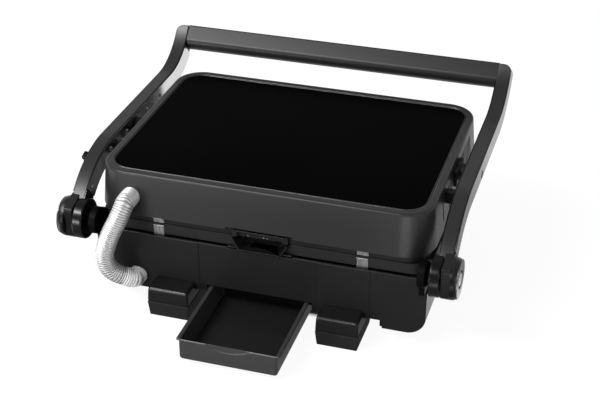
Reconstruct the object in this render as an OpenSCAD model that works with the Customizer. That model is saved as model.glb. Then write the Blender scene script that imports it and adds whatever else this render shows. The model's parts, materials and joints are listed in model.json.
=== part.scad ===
// Contact grill: two ribbed plates between a tub and a lid that a U-shaped handle swings right over

/* [Lid] */
// Width of the lid's top edge
lid_w = 304; // [260:1:340]
// Depth of the lid's top edge, front to back
lid_d = 221.6; // [200:0.2:260]
// Corner radius of the lid's top edge
lid_r = 27; // [24:1:34]
// Height of the lid's skirt
lid_h = 40.9; // [37:0.1:50]
// Outward slope of the skirt, in degrees
lid_draft = 4.8; // [2:0.1:6]
// Wall of the lid
lid_wall = 2.6; // [2:0.1:3]
// Rounding of the lid's top edge
lid_edge_r = 2.4; // [1:0.1:3]
// Width of the lid's rim at the panel's sides
rim_side = 7; // [5:0.5:12]
// Width of the lid's rim before and behind the panel
rim_end = 8.3; // [5:0.1:12]
// Thickness of the top panel
panel_t = 2; // [1.5:0.1:3]
// Corner radius of the top panel
panel_r = 20; // [16:1:24]

/* [Plates] */
// Height of the lower plate's rim
plate_rim_h = 10.6; // [9:0.1:14]
// Height of the upper plate that shows under the skirt
band_h = 8.3; // [7:0.1:10]
// Whole height of the upper plate
upper_plate_h = 11; // [10:0.1:16]
// Gap between the two plates when closed
plate_gap = 0.4; // [0.3:0.1:1]
// Corner radius of the lower plate
lower_plate_r = 20; // [16:1:24]
// Corner radius of the upper plate
upper_plate_r = 22; // [18:1:26]
// Width of a plate's rim round its cooking face
plate_rim_w = 9; // [6:0.5:14]
// Depth of a cooking face below its rim
face_depth = 4.6; // [3:0.1:6]
// Height of a grill rib
rib_h = 3.2; // [1.5:0.1:4]
// Width of a grill rib at its root
rib_w = 6; // [4:0.5:9]
// Number of grill ribs on a plate
rib_count = 19; // [9:1:21]
// Width of a plate clip
clip_w = 10.3; // [6:0.1:14]
// Distance of a plate clip from the middle
clip_x = 94.8; // [80:0.1:105]
// Sheet of a plate clip
clip_t = 1; // [0.6:0.1:1.4]

/* [Grease spout] */
// Sideways place of the spout
spout_x = 1.8; // [-4:0.1:4]
// Width of the spout at its top
spout_w = 50; // [44:1:56]
// Width of the spout at its floor
spout_floor_w = 37; // [32:1:42]
// Depth of the spout's floor below the housing's edge
spout_drop = 0.4; // [0:0.1:3]
// Sheet of the chute
spout_t = 1.2; // [0.8:0.1:2]
// Width of the duct that drops the grease into the tray
duct_w = 26; // [16:1:34]
// Depth of that duct, front to back
duct_d = 11; // [8:1:14]

/* [Base] */
// Height of the lower housing
base_h = 58.7; // [55:0.1:75]
// Height of the housing's lower edge over the table
base_clear = 14; // [11:0.1:17]
// Radius of the housing's long lower corners
base_r = 17.5; // [12:0.5:24]
// Wall of the lower housing
base_wall = 2.6; // [2:0.1:4]
// How far the housing stands in from the skirt at the sides
base_in_side = 1.8; // [1:0.1:3]
// How far the housing stands in from the skirt at front and rear
base_in_end = 2.1; // [1:0.1:4]
// Height of the raised middle of the underside over the lower edge
floor_step = 8; // [6:0.5:10]
// Distance of that step from the middle
floor_half = 114.6; // [108:0.2:120]
// Thickness of the floor
floor_t = 2; // [1.5:0.1:3]
// Width of a raised column on the rear wall
column_w = 46.2; // [42:0.2:52]
// Relief of a raised column
column_t = 0.8; // [0.4:0.1:2]
// How far the front and rear walls stop short of the plate
wall_drop = 0.6; // [0.4:0.1:3]

/* [Feet] */
// Distance of a foot from the middle
foot_x = 79.4; // [76:0.2:84]
// Width of a rear foot
foot_w = 38.2; // [30:0.2:42]
// How far a rear foot stands out behind the wall
foot_out = 21.2; // [14:0.2:26]
// Height of a rear foot's top over the table
foot_top = 29.5; // [27:0.5:34]
// Height of the rubber pad of a foot
pad_h = 15; // [8:0.5:17]
// Draw-in of a pad towards the table
pad_taper = 1.4; // [0:0.1:3]
// How far the seam between foot and pad stands out
pad_flare = 0.7; // [0:0.1:1]
// Bevel round the top of a rear foot
foot_bevel = 1.2; // [0.5:0.1:2.5]
// Depth of a foot under the floor
foot_under = 26; // [16:1:34]

/* [Drip tray] */
// Width of the tray's body
tray_w = 89.2; // [76:0.2:92]
// Width of the lip along each side of the tray
tray_lip = 2.7; // [2:0.1:4]
// Length of the tray
tray_len = 105; // [98:1:112]
// Height of the tray
tray_h = 20.5; // [14:0.5:22]
// Height of the tray's rim over the table
tray_top = 26.5; // [25:0.5:27.5]
// Wall of the tray
tray_wall = 1.5; // [1:0.1:2.5]
// How far the tray stands out behind the rear wall
tray_out = 84; // [74:1:88]
// How far the tray slides in from there
tray_travel = 72; // [40:1:74]
// Width of the finger scoop
scoop_w = 42; // [20:1:60]
// Depth of the finger scoop
scoop_d = 5.5; // [3:0.5:10]
// Thickness of a tray runner
runner_t = 1.6; // [1:0.1:3]

/* [Arms] */
// Gap between the skirt's edge and an arm
arm_gap = 6.7; // [6:0.1:12]
// Width of an arm's core
core_w = 11.6; // [10:0.1:16]
// Thickness of an arm's metal side plates
side_t = 1.2; // [0.8:0.1:2]
// Depth of an arm, seen from the side
arm_depth = 19; // [16:0.5:22]
// How far an arm's top edge lies under the lid's top
arm_drop = 1; // [0:0.5:4]
// Distance behind the middle at which an arm bends down to its hub
arm_rear = 45; // [35:1:55]
// Distance before the middle at which an arm bends up to the bar
arm_front = 95; // [85:1:110]
// Inner radius of the bend up to the bar
arm_front_r = 67; // [55:1:80]
// Sweep of the bend up to the bar, in degrees
arm_sweep = 57.5; // [52:0.5:60]
// Rounding of an arm's outer end corner
arm_end_r = 8; // [4:0.5:10]

/* [Handle bar] */
// Height of the bar across its broad face
bar_h = 23; // [20:0.5:24]
// Thickness of the bar
bar_t = 16.5; // [12:0.5:18]
// Rounding of the bar's edges
bar_r = 6; // [3:0.5:8]
// Place of the bar on the bend, in degrees
bar_sweep = 48.9; // [44:0.1:49]

/* [Hinge] */
// Distance of the hinge axis behind the skirt
hinge_back = 4.9; // [4:0.1:7]
// Radius of the hubs
hub_r = 18.6; // [16:0.1:20]
// Length of the inner hub disc
disc_len = 9.8; // [6:0.1:12]
// How far the inner disc starts inside the arm
disc_in = 4; // [3:0.1:4.2]
// Length of an arm's hub
hub_len = 13.6; // [12:0.1:20]
// Thickness of the hub caps
cap_t = 1.2; // [0.8:0.1:2]
// Radius of the recess in a hub cap
cap_hole_r = 8.5; // [7:0.1:11]
// Radius of the hinge pins
pin_r = 6; // [4:0.1:7]
// Running clearance round pins and shafts
pin_clear = 0.05; // [0.02:0.01:0.1]
// Radius of the trunnion's boss
boss_r = 11; // [9:0.1:11.5]
// Gap between pieces that turn past each other
turn_gap = 0.4; // [0.3:0.1:0.8]

/* [Lid pivots] */
// Distance of the lid's pivots before the middle
pivot_y = 4; // [-10:1:15]
// Depth of the lid's pivots under the lid's top
pivot_drop = 14.8; // [13:0.1:15.4]
// Radius of the lid's pivot pins
pivot_r = 3.5; // [2.5:0.1:4]
// How far the lid floats up between the arms
lid_float = 4; // [2:0.5:4]

/* [Controls] */
// Diameter of the thermostat knob
knob_d = 30; // [24:1:32]
// Length of the thermostat knob
knob_len = 15; // [10:0.5:20]
// Number of finger flutes round the knob
knob_flutes = 18; // [10:1:24]
// Width of the control panel
fascia_w = 132; // [110:1:180]
// Height of the control panel
fascia_h = 33; // [32:1:34]
// Thickness of the control panel
fascia_t = 2.2; // [1:0.1:4]
// Distance of an indicator lens from the knob
lens_x = 36; // [28:1:44]
// Travel of the plate release buttons
button_travel = 3; // [1.5:0.5:3.5]
// Travel of the lock slider on the left arm
slider_travel = 6; // [3:0.5:8]

/* [Cable hose] */
// Outer diameter of the hose
hose_d = 17.5; // [12:0.5:18.5]
// Bore of the hose
hose_bore = 13.5; // [8:0.5:14]
// Depth of a rib of the hose
hose_rib = 0.8; // [0.4:0.1:1]
// Number of ribs along the hose
hose_ribs = 80; // [40:1:100]

/* [Hidden] */
$fn = 96;

// Small gaps that pieces keep from each other
fit = 0.3;
slack = 0.6;
eps = 0.01;
// Outline of the lid and what follows it
lid_hw = lid_w / 2;
lid_hd = lid_d / 2;
flare = lid_h * tan(lid_draft);
skirt_hw = lid_hw + flare;
skirt_hd = lid_hd + flare;
base_hw = skirt_hw - base_in_side;
base_hd = skirt_hd - base_in_end;
base_in_hd = base_hd - base_wall;
lower_hw = skirt_hw - 0.8;
lower_hd = base_in_hd - 1.4;
upper_hw = skirt_hw - lid_wall - 1.7;
upper_hd = lower_hd - 0.5;
// Heights from the table up
base_top = base_clear + base_h;
floor_z = base_clear + floor_step;
seam = base_top + plate_rim_h;
lid_z = seam + band_h;
lid_top = lid_z + lid_h;
panel_hw = lid_hw - rim_side;
panel_hd = lid_hd - rim_end;
panel_sink = 0.5;
ceiling = lid_top - panel_sink - panel_t - lid_wall;
upper_z = seam + plate_gap;
upper_top = upper_z + upper_plate_h;
// Hinge axis and the arms' curve through it
hinge_y = -skirt_hd - hinge_back;
hinge_z = seam;
arm_x = skirt_hw + arm_gap;
core_x = arm_x + side_t;
core_x1 = core_x + core_w;
arm_x1 = core_x1 + side_t;
arm_z = lid_top - arm_drop;
arm_mid_z = arm_z - arm_depth / 2;
hub_dy = -arm_rear - hinge_y;
hub_dz = arm_mid_z - hinge_z;
rear_r = (pow(hub_dy, 2) + pow(hub_dz, 2)) / (2 * hub_dz);
rear_sweep = asin(hub_dy / rear_r);
rear_cz = arm_mid_z - rear_r;
front_cz = arm_z + arm_front_r;
front_mid_r = arm_front_r + arm_depth / 2;
disc_x = arm_x - disc_in;
hub_x = disc_x + disc_len + 0.2;
hub_x1 = hub_x + hub_len;
plate_back = (hub_r + 5) / rear_r * 180 / PI;
bar_y = arm_front + front_mid_r * sin(bar_sweep);
bar_z = front_cz - front_mid_r * cos(bar_sweep);
pivot_z = lid_top - pivot_drop;
// Tray and its bay
bay_hw = tray_w / 2 + tray_lip + 2.6;
bay_z = tray_top + 1.5;
bay_len = tray_travel - tray_out + tray_len + 4;
tray_rear = -base_hd - tray_out;
foot_rear = -base_hd - column_t - foot_out;
// The part stands with the middle of its box over the origin
arm_tip_y = arm_front + (arm_front_r + arm_depth) * sin(arm_sweep);
origin_y = -(tray_rear + arm_tip_y) / 2;
// Hose: where it goes through the skirt and the wall, and the route between, chosen by hand
hose_in = 10;
hose_lid = [-119, 109.5];
hose_wall = [-117, 26];
hose_out = hose_d / 2;
hose_mid = [[-119.5, -130, 106], [-122.5, -135, 97], [-127.5, -137.5, 86.5], [-132.5, -138.5, 74.5],
    [-136.5, -138, 61.5], [-137, -136, 49.5], [-133.5, -133, 39.5], [-127, -128.5, 32]];
hose_from = [[hose_lid[0], -lid_hd + hose_in, hose_lid[1]], [hose_lid[0], -skirt_hd - hose_out, hose_lid[1]]];
hose_to = [[hose_wall[0], -base_hd - hose_out, hose_wall[1]], [hose_wall[0], -base_hd + hose_in, hose_wall[1]]];
hose_path = concat(hose_from, hose_mid, hose_to);
// Controls
knob_z = base_clear + base_h / 2;
shaft_r = 3.9;
button_w = 22;
button_h = 6;
slider_a = 18.3;
// Colours
housing_colour = [0.15, 0.15, 0.16];
lid_colour = [0.27, 0.27, 0.28];
black = [0.05, 0.05, 0.05];
steel = [0.75, 0.75, 0.76];
plate_colour = [0.2, 0.2, 0.2];
rubber = [0.1, 0.1, 0.1];

// Basic moves and outlines
module at_body() {
    translate([0, origin_y, 0]) children();
}

module pair() {
    children();
    mirror([1, 0, 0]) children();
}

// A (Y, Z) outline drawn out along X, and an (X, Z) outline drawn out along Y
module along_x(x0, x1) {
    translate([x0, 0, 0]) rotate([90, 0, 90]) linear_extrude(x1 - x0) children();
}

module along_y(y0, y1) {
    translate([0, y1, 0]) rotate([90, 0, 0]) linear_extrude(y1 - y0) children();
}

module rod(x0, x1, y, z, r) {
    translate([x0, y, z]) rotate([0, 90, 0]) cylinder(h = x1 - x0, r = r);
}

module rod_y(y0, y1, x, z, r) {
    translate([x, y1, z]) rotate([90, 0, 0]) cylinder(h = y1 - y0, r = r);
}

module block(x0, x1, y0, y1, z0, z1) {
    translate([x0, y0, z0]) cube([x1 - x0, y1 - y0, z1 - z0]);
}

module rounded(hw, hd, r) {
    square([2 * hw, 2 * (hd - r)], center = true);
    square([2 * (hw - r), 2 * hd], center = true);
    for (sx = [-1, 1], sy = [-1, 1]) translate([sx * (hw - r), sy * (hd - r)]) circle(r);
}

module slab(hw, hd, r, z0, z1) {
    translate([0, 0, z0]) linear_extrude(z1 - z0) rounded(hw, hd, r);
}

module ring_sector(r0, r1, a0, a1) {
    far = 2 * r1;
    mid = (a0 + a1) / 2;
    intersection() {
        difference() {
            circle(r1);
            circle(r0);
        }
        polygon([[0, 0], [far * cos(a0), far * sin(a0)], [far * cos(mid), far * sin(mid)],
            [far * cos(a1), far * sin(a1)]]);
    }
}

function arc(cx, cz, r, a0, a1, n) =
    [for (i = [0:n]) [cx + r * cos(a0 + (a1 - a0) * i / n), cz + r * sin(a0 + (a1 - a0) * i / n)]];

function two_sided(c, pts) =
    concat([for (p = pts) [p[0] + c, p[1]]], [for (i = [len(pts) - 1:-1:0]) [-pts[i][0] - c, pts[i][1]]]);

// Box whose four corners are turned from one edge profile of (radius, height) points
module turned_box(cx, cy, pts) {
    for (sx = [-1, 1], sy = [-1, 1]) translate([sx * cx, sy * cy, 0]) rotate_extrude() polygon(pts);
    along_y(-cy, cy) polygon(two_sided(cx, pts));
    along_x(-cx, cx) polygon(two_sided(cy, pts));
}

// Lower housing
module base_outline(hw, z0, r, top) {
    translate([-hw, z0 + r]) square([2 * hw, top - z0 - r]);
    translate([-hw + r, z0]) square([2 * (hw - r), top - z0]);
    for (sx = [-1, 1]) translate([sx * (hw - r), z0 + r]) circle(r);
}

module base_sides() {
    web = floor_half - base_wall;
    difference() {
        base_outline(base_hw, base_clear, base_r, base_top);
        base_outline(base_hw - base_wall, base_clear + base_wall, base_r - base_wall, base_top + 1);
        translate([-web, 0]) square([2 * web, floor_z]);
    }
    for (sx = [-1, 1])
        translate([sx > 0 ? web : -floor_half, base_clear]) square([base_wall, floor_step]);
}

module spout_outline(grow) {
    top = seam + 3;
    bottom = base_top - spout_drop;
    slope = (spout_w - spout_floor_w) / 2 / (seam - bottom);
    half = spout_floor_w / 2 + grow;
    wide = half + slope * (top - bottom);
    translate([spout_x, 0])
        polygon([[-half, bottom - grow], [half, bottom - grow], [wide, top], [-wide, top]]);
}

// The notch at each upper rear corner takes the trunnion's web
web_x = base_hw - base_wall - 4;
web_z = base_top - 14.8;
web_front = -base_hd + 16;

module lower_housing() {
    color(housing_colour) at_body() difference() {
        union() {
            along_y(-base_hd, base_hd) base_sides();
            along_y(-base_hd, -base_in_hd) base_outline(base_hw, base_clear, base_r, base_top - wall_drop);
            along_y(base_in_hd, base_hd) base_outline(base_hw, base_clear, base_r, base_top - wall_drop);
            for (sx = [-1, 1])
                translate([sx * foot_x - column_w / 2, -base_hd - column_t, floor_z])
                    cube([column_w, column_t + eps, base_top - wall_drop - floor_z]);
        }
        block(-foot_x - foot_w / 2 - pad_flare - fit, floor_half, -base_hd - 2, -base_in_hd + eps, 0, floor_z);
        block(-bay_hw, bay_hw, -base_hd - 2, -base_in_hd + eps, 0, bay_z);
        along_y(-base_hd - 2, -base_in_hd + eps) spout_outline(spout_t + fit);
        block(spout_x - ear_half - fit, spout_x + ear_half + fit, -base_hd - 2, -base_in_hd + eps,
            base_top - wall_drop - 1.2, base_top + 1);
        pair() block(web_x - slack, base_hw + 1, -base_hd - 2, web_front + slack, web_z - slack, base_top + 1);
        rod_y(-base_hd - 2, -base_hd + hose_in + 2, hose_wall[0], hose_wall[1], hose_d / 2 + fit);
        rod_y(base_in_hd - 1, base_hd + 1, 0, knob_z, shaft_r + slack);
        for (sx = [-1, 1]) rod_y(base_in_hd - 1, base_hd + 1, sx * lens_x, knob_z, 2);
        button_slot(base_in_hd - 1, base_hd + 1, lower_button_z);
    }
}

module base_floor() {
    edge = base_hw - base_r + sqrt(pow(base_r - base_wall, 2) - pow(base_r - floor_step, 2)) - slack;
    back = -base_in_hd + fit;
    color(housing_colour) at_body() difference() {
        union() {
            block(-edge, edge, back, base_in_hd - fit, floor_z, floor_z + floor_t);
            block(-bay_hw - floor_t, bay_hw + floor_t, back, back + bay_len + floor_t, floor_z, bay_z + floor_t);
        }
        block(-bay_hw, bay_hw, back - 1, back + bay_len, 0, bay_z);
        duct(0, 0, bay_z + floor_t + 1);
        rod_y(back - 1, -base_hd + hose_in + 2, hose_wall[0], hose_wall[1], hose_d / 2 + slack);
        translate([gland_x, gland_y, 0]) cylinder(h = floor_z + floor_t + 1, r = gland_r + 0.1);
    }
}

// The tray's lips ride on two runners along the bay
module tray_runners() {
    top = tray_top - tray_wall - fit;
    inner = tray_w / 2 + slack;
    color(housing_colour) at_body() pair()
        block(inner, bay_hw, -base_in_hd + fit, -base_in_hd + fit + bay_len, top - runner_t, top);
}

// Feet: a bevelled block with a rubber pad that draws in below the seam
module foot_front(hw, z0, z1, top_hw, top_z) {
    polygon([[-hw + pad_taper, z0], [hw - pad_taper, z0], [hw, z1], [top_hw, top_z], [-top_hw, top_z], [-hw, z1]]);
}

module rear_foot(side) {
    hw = foot_w / 2;
    wall_y = -base_hd - column_t;
    under = -base_hd + foot_under;
    color(housing_colour) at_body() translate([side * foot_x, 0, 0]) intersection() {
        along_y(foot_rear - 1, under) polygon([[-hw - pad_flare, pad_h], [hw + pad_flare, pad_h], [hw, foot_top - foot_bevel],
            [hw - foot_bevel, foot_top], [-hw + foot_bevel, foot_top], [-hw, foot_top - foot_bevel]]);
        along_x(-foot_w, foot_w) polygon([[foot_rear - pad_flare, pad_h], [foot_rear, foot_top - foot_bevel],
            [foot_rear + foot_bevel, foot_top], [wall_y, foot_top], [wall_y, floor_z], [under, floor_z],
            [under, pad_h]]);
    }
}

module rear_foot_left() {
    rear_foot(-1);
}

module rear_foot_right() {
    rear_foot(1);
}

front_foot_y = base_hd - foot_under / 2 - 7;
front_foot_hw = 16;

module front_feet() {
    color(housing_colour) at_body() pair()
        block(foot_x - front_foot_hw, foot_x + front_foot_hw, front_foot_y - foot_under / 2,
            front_foot_y + foot_under / 2, pad_h, floor_z);
}

module pad(hw, y0, y1) {
    intersection() {
        along_y(y0, y1) polygon([[-hw + pad_taper, 0], [hw - pad_taper, 0], [hw, pad_h], [-hw, pad_h]]);
        along_x(-hw, hw) polygon([[y0 + pad_taper, 0], [y1 - pad_taper, 0], [y1, pad_h], [y0, pad_h]]);
    }
}

module foot_pads() {
    color(rubber) at_body() for (sx = [-1, 1]) translate([sx * foot_x, 0, 0]) {
        pad(foot_w / 2 + pad_flare, foot_rear - pad_flare, -base_hd + foot_under);
        pad(front_foot_hw, front_foot_y - foot_under / 2, front_foot_y + foot_under / 2);
    }
}

module floor_screws() {
    head_h = 2.2;
    color(steel) at_body() for (sx = [-1, 1], y = [-0.5, 0.1, 0.55])
        translate([sx * (foot_x - 16), y * base_hd, floor_z - head_h]) difference() {
            cylinder(h = head_h, r = 3.6);
            translate([0, 0, -eps]) cylinder(h = 1, r = 1.5, $fn = 6);
        }
}

// Cooking plates
module grill_ribs(hw, hd, z, up) {
    pitch = 2 * (hw - 6) / rib_count;
    tip = rib_w * 0.4;
    for (i = [0:rib_count - 1]) translate([(i + 0.5 - rib_count / 2) * pitch, 0, z]) along_y(-hd + 10, hd - 5)
        polygon([[-rib_w / 2, -up], [rib_w / 2, -up], [tip / 2, up * rib_h], [-tip / 2, up * rib_h]]);
}

module lower_plate() {
    face_hw = lower_hw - plate_rim_w;
    face_hd = lower_hd - plate_rim_w;
    face_z = seam - face_depth;
    color(plate_colour) at_body() {
        difference() {
            slab(lower_hw, lower_hd, lower_plate_r, base_top, seam);
            slab(face_hw, face_hd, lower_plate_r - plate_rim_w / 2, face_z, seam + 1);
            along_y(-lower_hd - 1, -face_hd + 3) spout_outline(spout_t + fit);
        }
        grill_ribs(face_hw, face_hd, face_z, 1);
    }
}

module upper_plate() {
    face_hw = upper_hw - plate_rim_w;
    face_hd = upper_hd - plate_rim_w;
    face_z = upper_z + face_depth;
    color(plate_colour) at_body() {
        difference() {
            slab(upper_hw, upper_hd, upper_plate_r, upper_z, upper_top);
            slab(face_hw, face_hd, upper_plate_r - plate_rim_w / 2, upper_z - 1, face_z);
        }
        grill_ribs(face_hw, face_hd, face_z, -1);
    }
}

// Tubular heater bent to a U, with a cold pin in each end
heater_r = 3.3;
heater_bend = 24;
sleeve = 0.5;

module heater(z) {
    leg_y = lower_hd - 46;
    turn_x = lower_hw - 56;
    end_x = -lower_hw + 38;
    for (sy = [-1, 1]) {
        rod(end_x, turn_x, sy * leg_y, z, heater_r);
        rod(turn_x - 2, turn_x + 2, sy * leg_y, z, heater_r + sleeve);
        rod_y(sy * (leg_y - heater_bend) - 2, sy * (leg_y - heater_bend) + 2, turn_x + heater_bend, z, heater_r + sleeve);
        rod(end_x - 8, end_x + eps, sy * leg_y, z, 1.5);
        translate([turn_x, sy * (leg_y - heater_bend), z]) rotate([0, 0, sy > 0 ? 0 : -90])
            rotate_extrude(angle = 90) translate([heater_bend, 0]) circle(heater_r);
    }
    rod_y(-leg_y + heater_bend, leg_y - heater_bend, turn_x + heater_bend, z, heater_r);
}

module lower_heating_element() {
    color(steel) at_body() heater(base_top - heater_r - sleeve - 0.1);
}

module upper_heating_element() {
    color(steel) at_body() heater(upper_top + heater_r + sleeve + 0.1);
}

// Shallow pan of sheet that closes each heater off from its housing
shield_t = 0.8;
shield_h = 11;

module shield(z, up) {
    hw = lower_hw - 22;
    hd = lower_hd - 24;
    z1 = z + up * shield_h;
    difference() {
        slab(hw, hd, 14, min(z, z1), max(z, z1));
        slab(hw - shield_t, hd - shield_t, 14 - shield_t, min(z - up, z1 - up * shield_t),
            max(z - up, z1 - up * shield_t));
    }
}

module lower_heat_shield() {
    color(steel) at_body() shield(base_top, -1);
}

module upper_heat_shield() {
    color(steel) at_body() shield(upper_top, 1);
}

// Spring clips: bent strips on the rear of each plate
module clip(y, z0, z1, lip) {
    along_x(-clip_w / 2, clip_w / 2)
        polygon([[y, z0], [y, z1], [y - lip, z1], [y - lip, z1 - clip_t], [y - clip_t, z1 - clip_t - 0.4],
            [y - clip_t, z0]]);
}

module lower_plate_clips() {
    color(steel) at_body() for (sx = [-1, 1]) translate([sx * clip_x, 0, 0])
        clip(-lower_hd, base_top - 2, seam - 1.4, clip_t + 0.3);
}

module upper_plate_clips() {
    color(steel) at_body() for (sx = [-1, 1]) translate([sx * clip_x, 0, 0])
        clip(-upper_hd, upper_z + 0.5, lid_z - 2.4, clip_t + 1.2);
}

// Grease spout: flared chute with two ears on the wall's edge and a duct down to the tray bay
ear_half = 30;
skirt_notch = 31;
duct_y = -lower_hd + 1;

module duct(inset, z0, z1) {
    half = duct_w / 2 - inset;
    block(spout_x - half, spout_x + half, duct_y + inset, duct_y + duct_d - inset, z0, z1);
}

module spout_chute() {
    front = duct_y + duct_d;
    floor_top = base_top - spout_drop;
    lip_y = -base_hd - 1;
    color(plate_colour) at_body() difference() {
        union() {
            intersection() {
                along_y(lip_y, front) spout_outline(spout_t);
                block(-spout_w, spout_w, lip_y, front, 0, seam - fit);
            }
            duct(fit, bay_z + floor_t - 1, floor_top);
            block(spout_x - ear_half, spout_x + ear_half, -base_hd, -lower_hd - fit, base_top - 0.2, base_top + 1);
        }
        along_y(lip_y - 1, front - spout_t) spout_outline(0);
        duct(fit + spout_t, 0, seam);
        block(-spout_w, spout_w, duct_y + 1 + spout_t, front + 1, seam - face_depth - 1, seam + 1);
    }
}

module spout_bar() {
    half = spout_w / 2 + 1;
    y0 = -upper_hd - 3.5;
    z0 = upper_z + fit;
    z1 = lid_z - 1;
    color(plate_colour) at_body() translate([spout_x, 0, 0]) {
        block(-half, half, y0, -upper_hd, z1 - 1.7, z1);
        block(-half, -half + 4.5, y0, -upper_hd, z0, z1);
        block(half - 10, half - 6, y0, -upper_hd, z0 + 2, z1);
        block(half - 6, half, y0, -upper_hd, z0, z1);
    }
}

module spout_rivets() {
    color(steel) at_body() for (x = [-10, 4.4, 7.4]) translate([x, -upper_hd, upper_z + 1.4]) difference() {
        sphere(r = 1.1);
        translate([-2, 0, -2]) cube(4);
    }
}

// Hinge: trunnions on the base, pins through the hubs
module trunnion(side) {
    color(black) at_body() mirror([side < 0 ? 1 : 0, 0, 0]) difference() {
        union() {
            along_x(web_x, disc_x - turn_gap) {
                translate([hinge_y, hinge_z]) circle(boss_r);
                polygon([[hinge_y - boss_r, hinge_z], [hinge_y - boss_r, hinge_z - 6], [-base_hd - 1, web_z],
                    [web_front, web_z], [web_front, base_top - fit], [-lower_hd - slack, base_top - fit],
                    [-lower_hd - slack, hinge_z]]);
            }
            block(web_x - 9, base_hw - base_wall, -base_in_hd, web_front, web_z - 14, base_top - fit);
        }
        rod(web_x - 1, disc_x + 1, hinge_y, hinge_z, pin_r + pin_clear);
    }
}

module trunnion_left() {
    trunnion(-1);
}

module trunnion_right() {
    trunnion(1);
}

module hinge_pins() {
    color(steel) at_body() pair() {
        rod(web_x - 2, web_x, hinge_y, hinge_z, pin_r + 2);
        rod(web_x - eps, hub_x1 - 3, hinge_y, hinge_z, pin_r);
    }
}

// Handle arms: one side outline for the cores and the metal plates
module arm_outline(front_sweep, back_sweep, inset) {
    r0 = arm_front_r + inset;
    r1 = arm_front_r + arm_depth - inset;
    half = arm_depth / 2 - inset;
    translate([arm_front, front_cz]) ring_sector(r0, r1, 270, 270 + front_sweep);
    translate([-arm_rear, arm_mid_z - half]) square([arm_rear + arm_front, 2 * half]);
    translate([-arm_rear, rear_cz]) ring_sector(rear_r - half, rear_r + half, 90, 90 + back_sweep);
}

module pivot_slot(r) {
    translate([pivot_y, pivot_z]) circle(r);
    translate([pivot_y, pivot_z + lid_float]) circle(r);
    translate([pivot_y - r, pivot_z]) square([2 * r, lid_float]);
}

// Cuts the outer corner off an arm's front end to a quarter round
module end_corner() {
    translate([0, arm_front, front_cz]) rotate([arm_sweep, 0, 0]) translate([arm_x1 - arm_end_r, -arm_end_r, 0])
        difference() {
            block(0, arm_end_r + 1, 0, arm_end_r + 1, -arm_front_r - arm_depth - 1, -arm_front_r + 1);
            translate([0, 0, -arm_front_r - arm_depth - 2]) cylinder(h = arm_depth + 4, r = arm_end_r);
        }
}

module slider_frame() {
    translate([0, -arm_rear, rear_cz]) rotate([slider_a, 0, 0]) translate([0, 0, rear_r + 3]) children();
}

slider_stem = 4;

module slider_slot(x0, x1) {
    half = slider_stem / 2 + slack;
    slider_frame() block(x0, x1, -half, half + slider_travel, -half, half);
}

module arm_core() {
    lap_x = core_x1 + side_t;
    difference() {
        union() {
            difference() {
                along_x(core_x, core_x1) arm_outline(arm_sweep, rear_sweep, 0);
                rod(disc_x - 1, hub_x, hinge_y, hinge_z, hub_r + fit);
            }
            rod(hub_x, hub_x1, hinge_y, hinge_z, hub_r);
            along_x(hub_x, lap_x) polygon([[hinge_y, hinge_z], [hinge_y - hub_r, hinge_z],
                [hinge_y - hub_r, hinge_z + 8.5], [hinge_y - 6, hinge_z + hub_r], [hinge_y, hinge_z + hub_r]]);
        }
        rod(disc_x, hub_x1 + 1, hinge_y, hinge_z, pin_r + pin_clear);
        along_x(core_x - 1, core_x1 - 1.4) pivot_slot(pivot_r + fit);
        end_corner();
    }
}

module left_arm() {
    color(lid_colour) at_body() mirror([1, 0, 0]) difference() {
        arm_core();
        slider_slot(core_x1 - 5, core_x1 + 1);
    }
}

module right_arm() {
    color(lid_colour) at_body() arm_core();
}

module inner_plate() {
    along_x(arm_x, core_x) difference() {
        arm_outline(bar_sweep - 10, rear_sweep - plate_back, 0.5);
        pivot_slot(pivot_r + fit);
    }
}

module outer_plate() {
    difference() {
        along_x(core_x1, arm_x1) difference() {
            arm_outline(arm_sweep, rear_sweep - plate_back + 2, 0.5);
            translate([pivot_y, pivot_z]) circle(pivot_r + 0.5);
        }
        end_corner();
    }
}

module left_arm_inner_plate() {
    color(steel) at_body() mirror([1, 0, 0]) inner_plate();
}

module left_arm_outer_plate() {
    color(steel) at_body() mirror([1, 0, 0]) difference() {
        outer_plate();
        slider_slot(core_x1 - 1, arm_x1 + 1);
    }
}

module right_arm_inner_plate() {
    color(steel) at_body() inner_plate();
}

module right_arm_outer_plate() {
    color(steel) at_body() outer_plate();
}

module handle_bar() {
    color(lid_colour) at_body() along_x(-core_x, core_x) translate([bar_y, bar_z]) rotate(bar_sweep)
        rounded(bar_h / 2, bar_t / 2, bar_r);
}

// Inner hub disc with the tongue that carries on up beside the arm
module hub_disc() {
    difference() {
        union() {
            rod(disc_x, disc_x + disc_len, hinge_y, hinge_z, hub_r);
            rod(disc_x, hub_x, hinge_y, hinge_z, hub_r - 1.5);
            along_x(disc_x + 0.8, arm_x - 0.2) translate([-arm_rear, rear_cz])
                ring_sector(rear_r - arm_depth / 2 + 1, rear_r + arm_depth / 2, 90 + rear_sweep - plate_back - 2,
                    90 + rear_sweep);
        }
        rod(disc_x - 1, hub_x + 1, hinge_y, hinge_z, pin_r + pin_clear);
    }
}

module hub_disc_left() {
    color(black) at_body() mirror([1, 0, 0]) hub_disc();
}

module hub_disc_right() {
    color(black) at_body() hub_disc();
}

module hub_caps() {
    color(steel) at_body() pair() difference() {
        rod(hub_x1, hub_x1 + cap_t, hinge_y, hinge_z, hub_r - 0.6);
        rod(hub_x1 - 1, hub_x1 + cap_t + 1, hinge_y, hinge_z, cap_hole_r);
    }
}

module hub_bolts() {
    color(steel) at_body() pair() difference() {
        rod(hub_x1 - 3, hub_x1 + cap_t - 0.2, hinge_y, hinge_z, pin_r - 0.2);
        translate([hub_x1 - 0.8, hinge_y, hinge_z]) rotate([0, 90, 0]) cylinder(h = cap_t + 1, r = 2.8, $fn = 6);
    }
}

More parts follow.
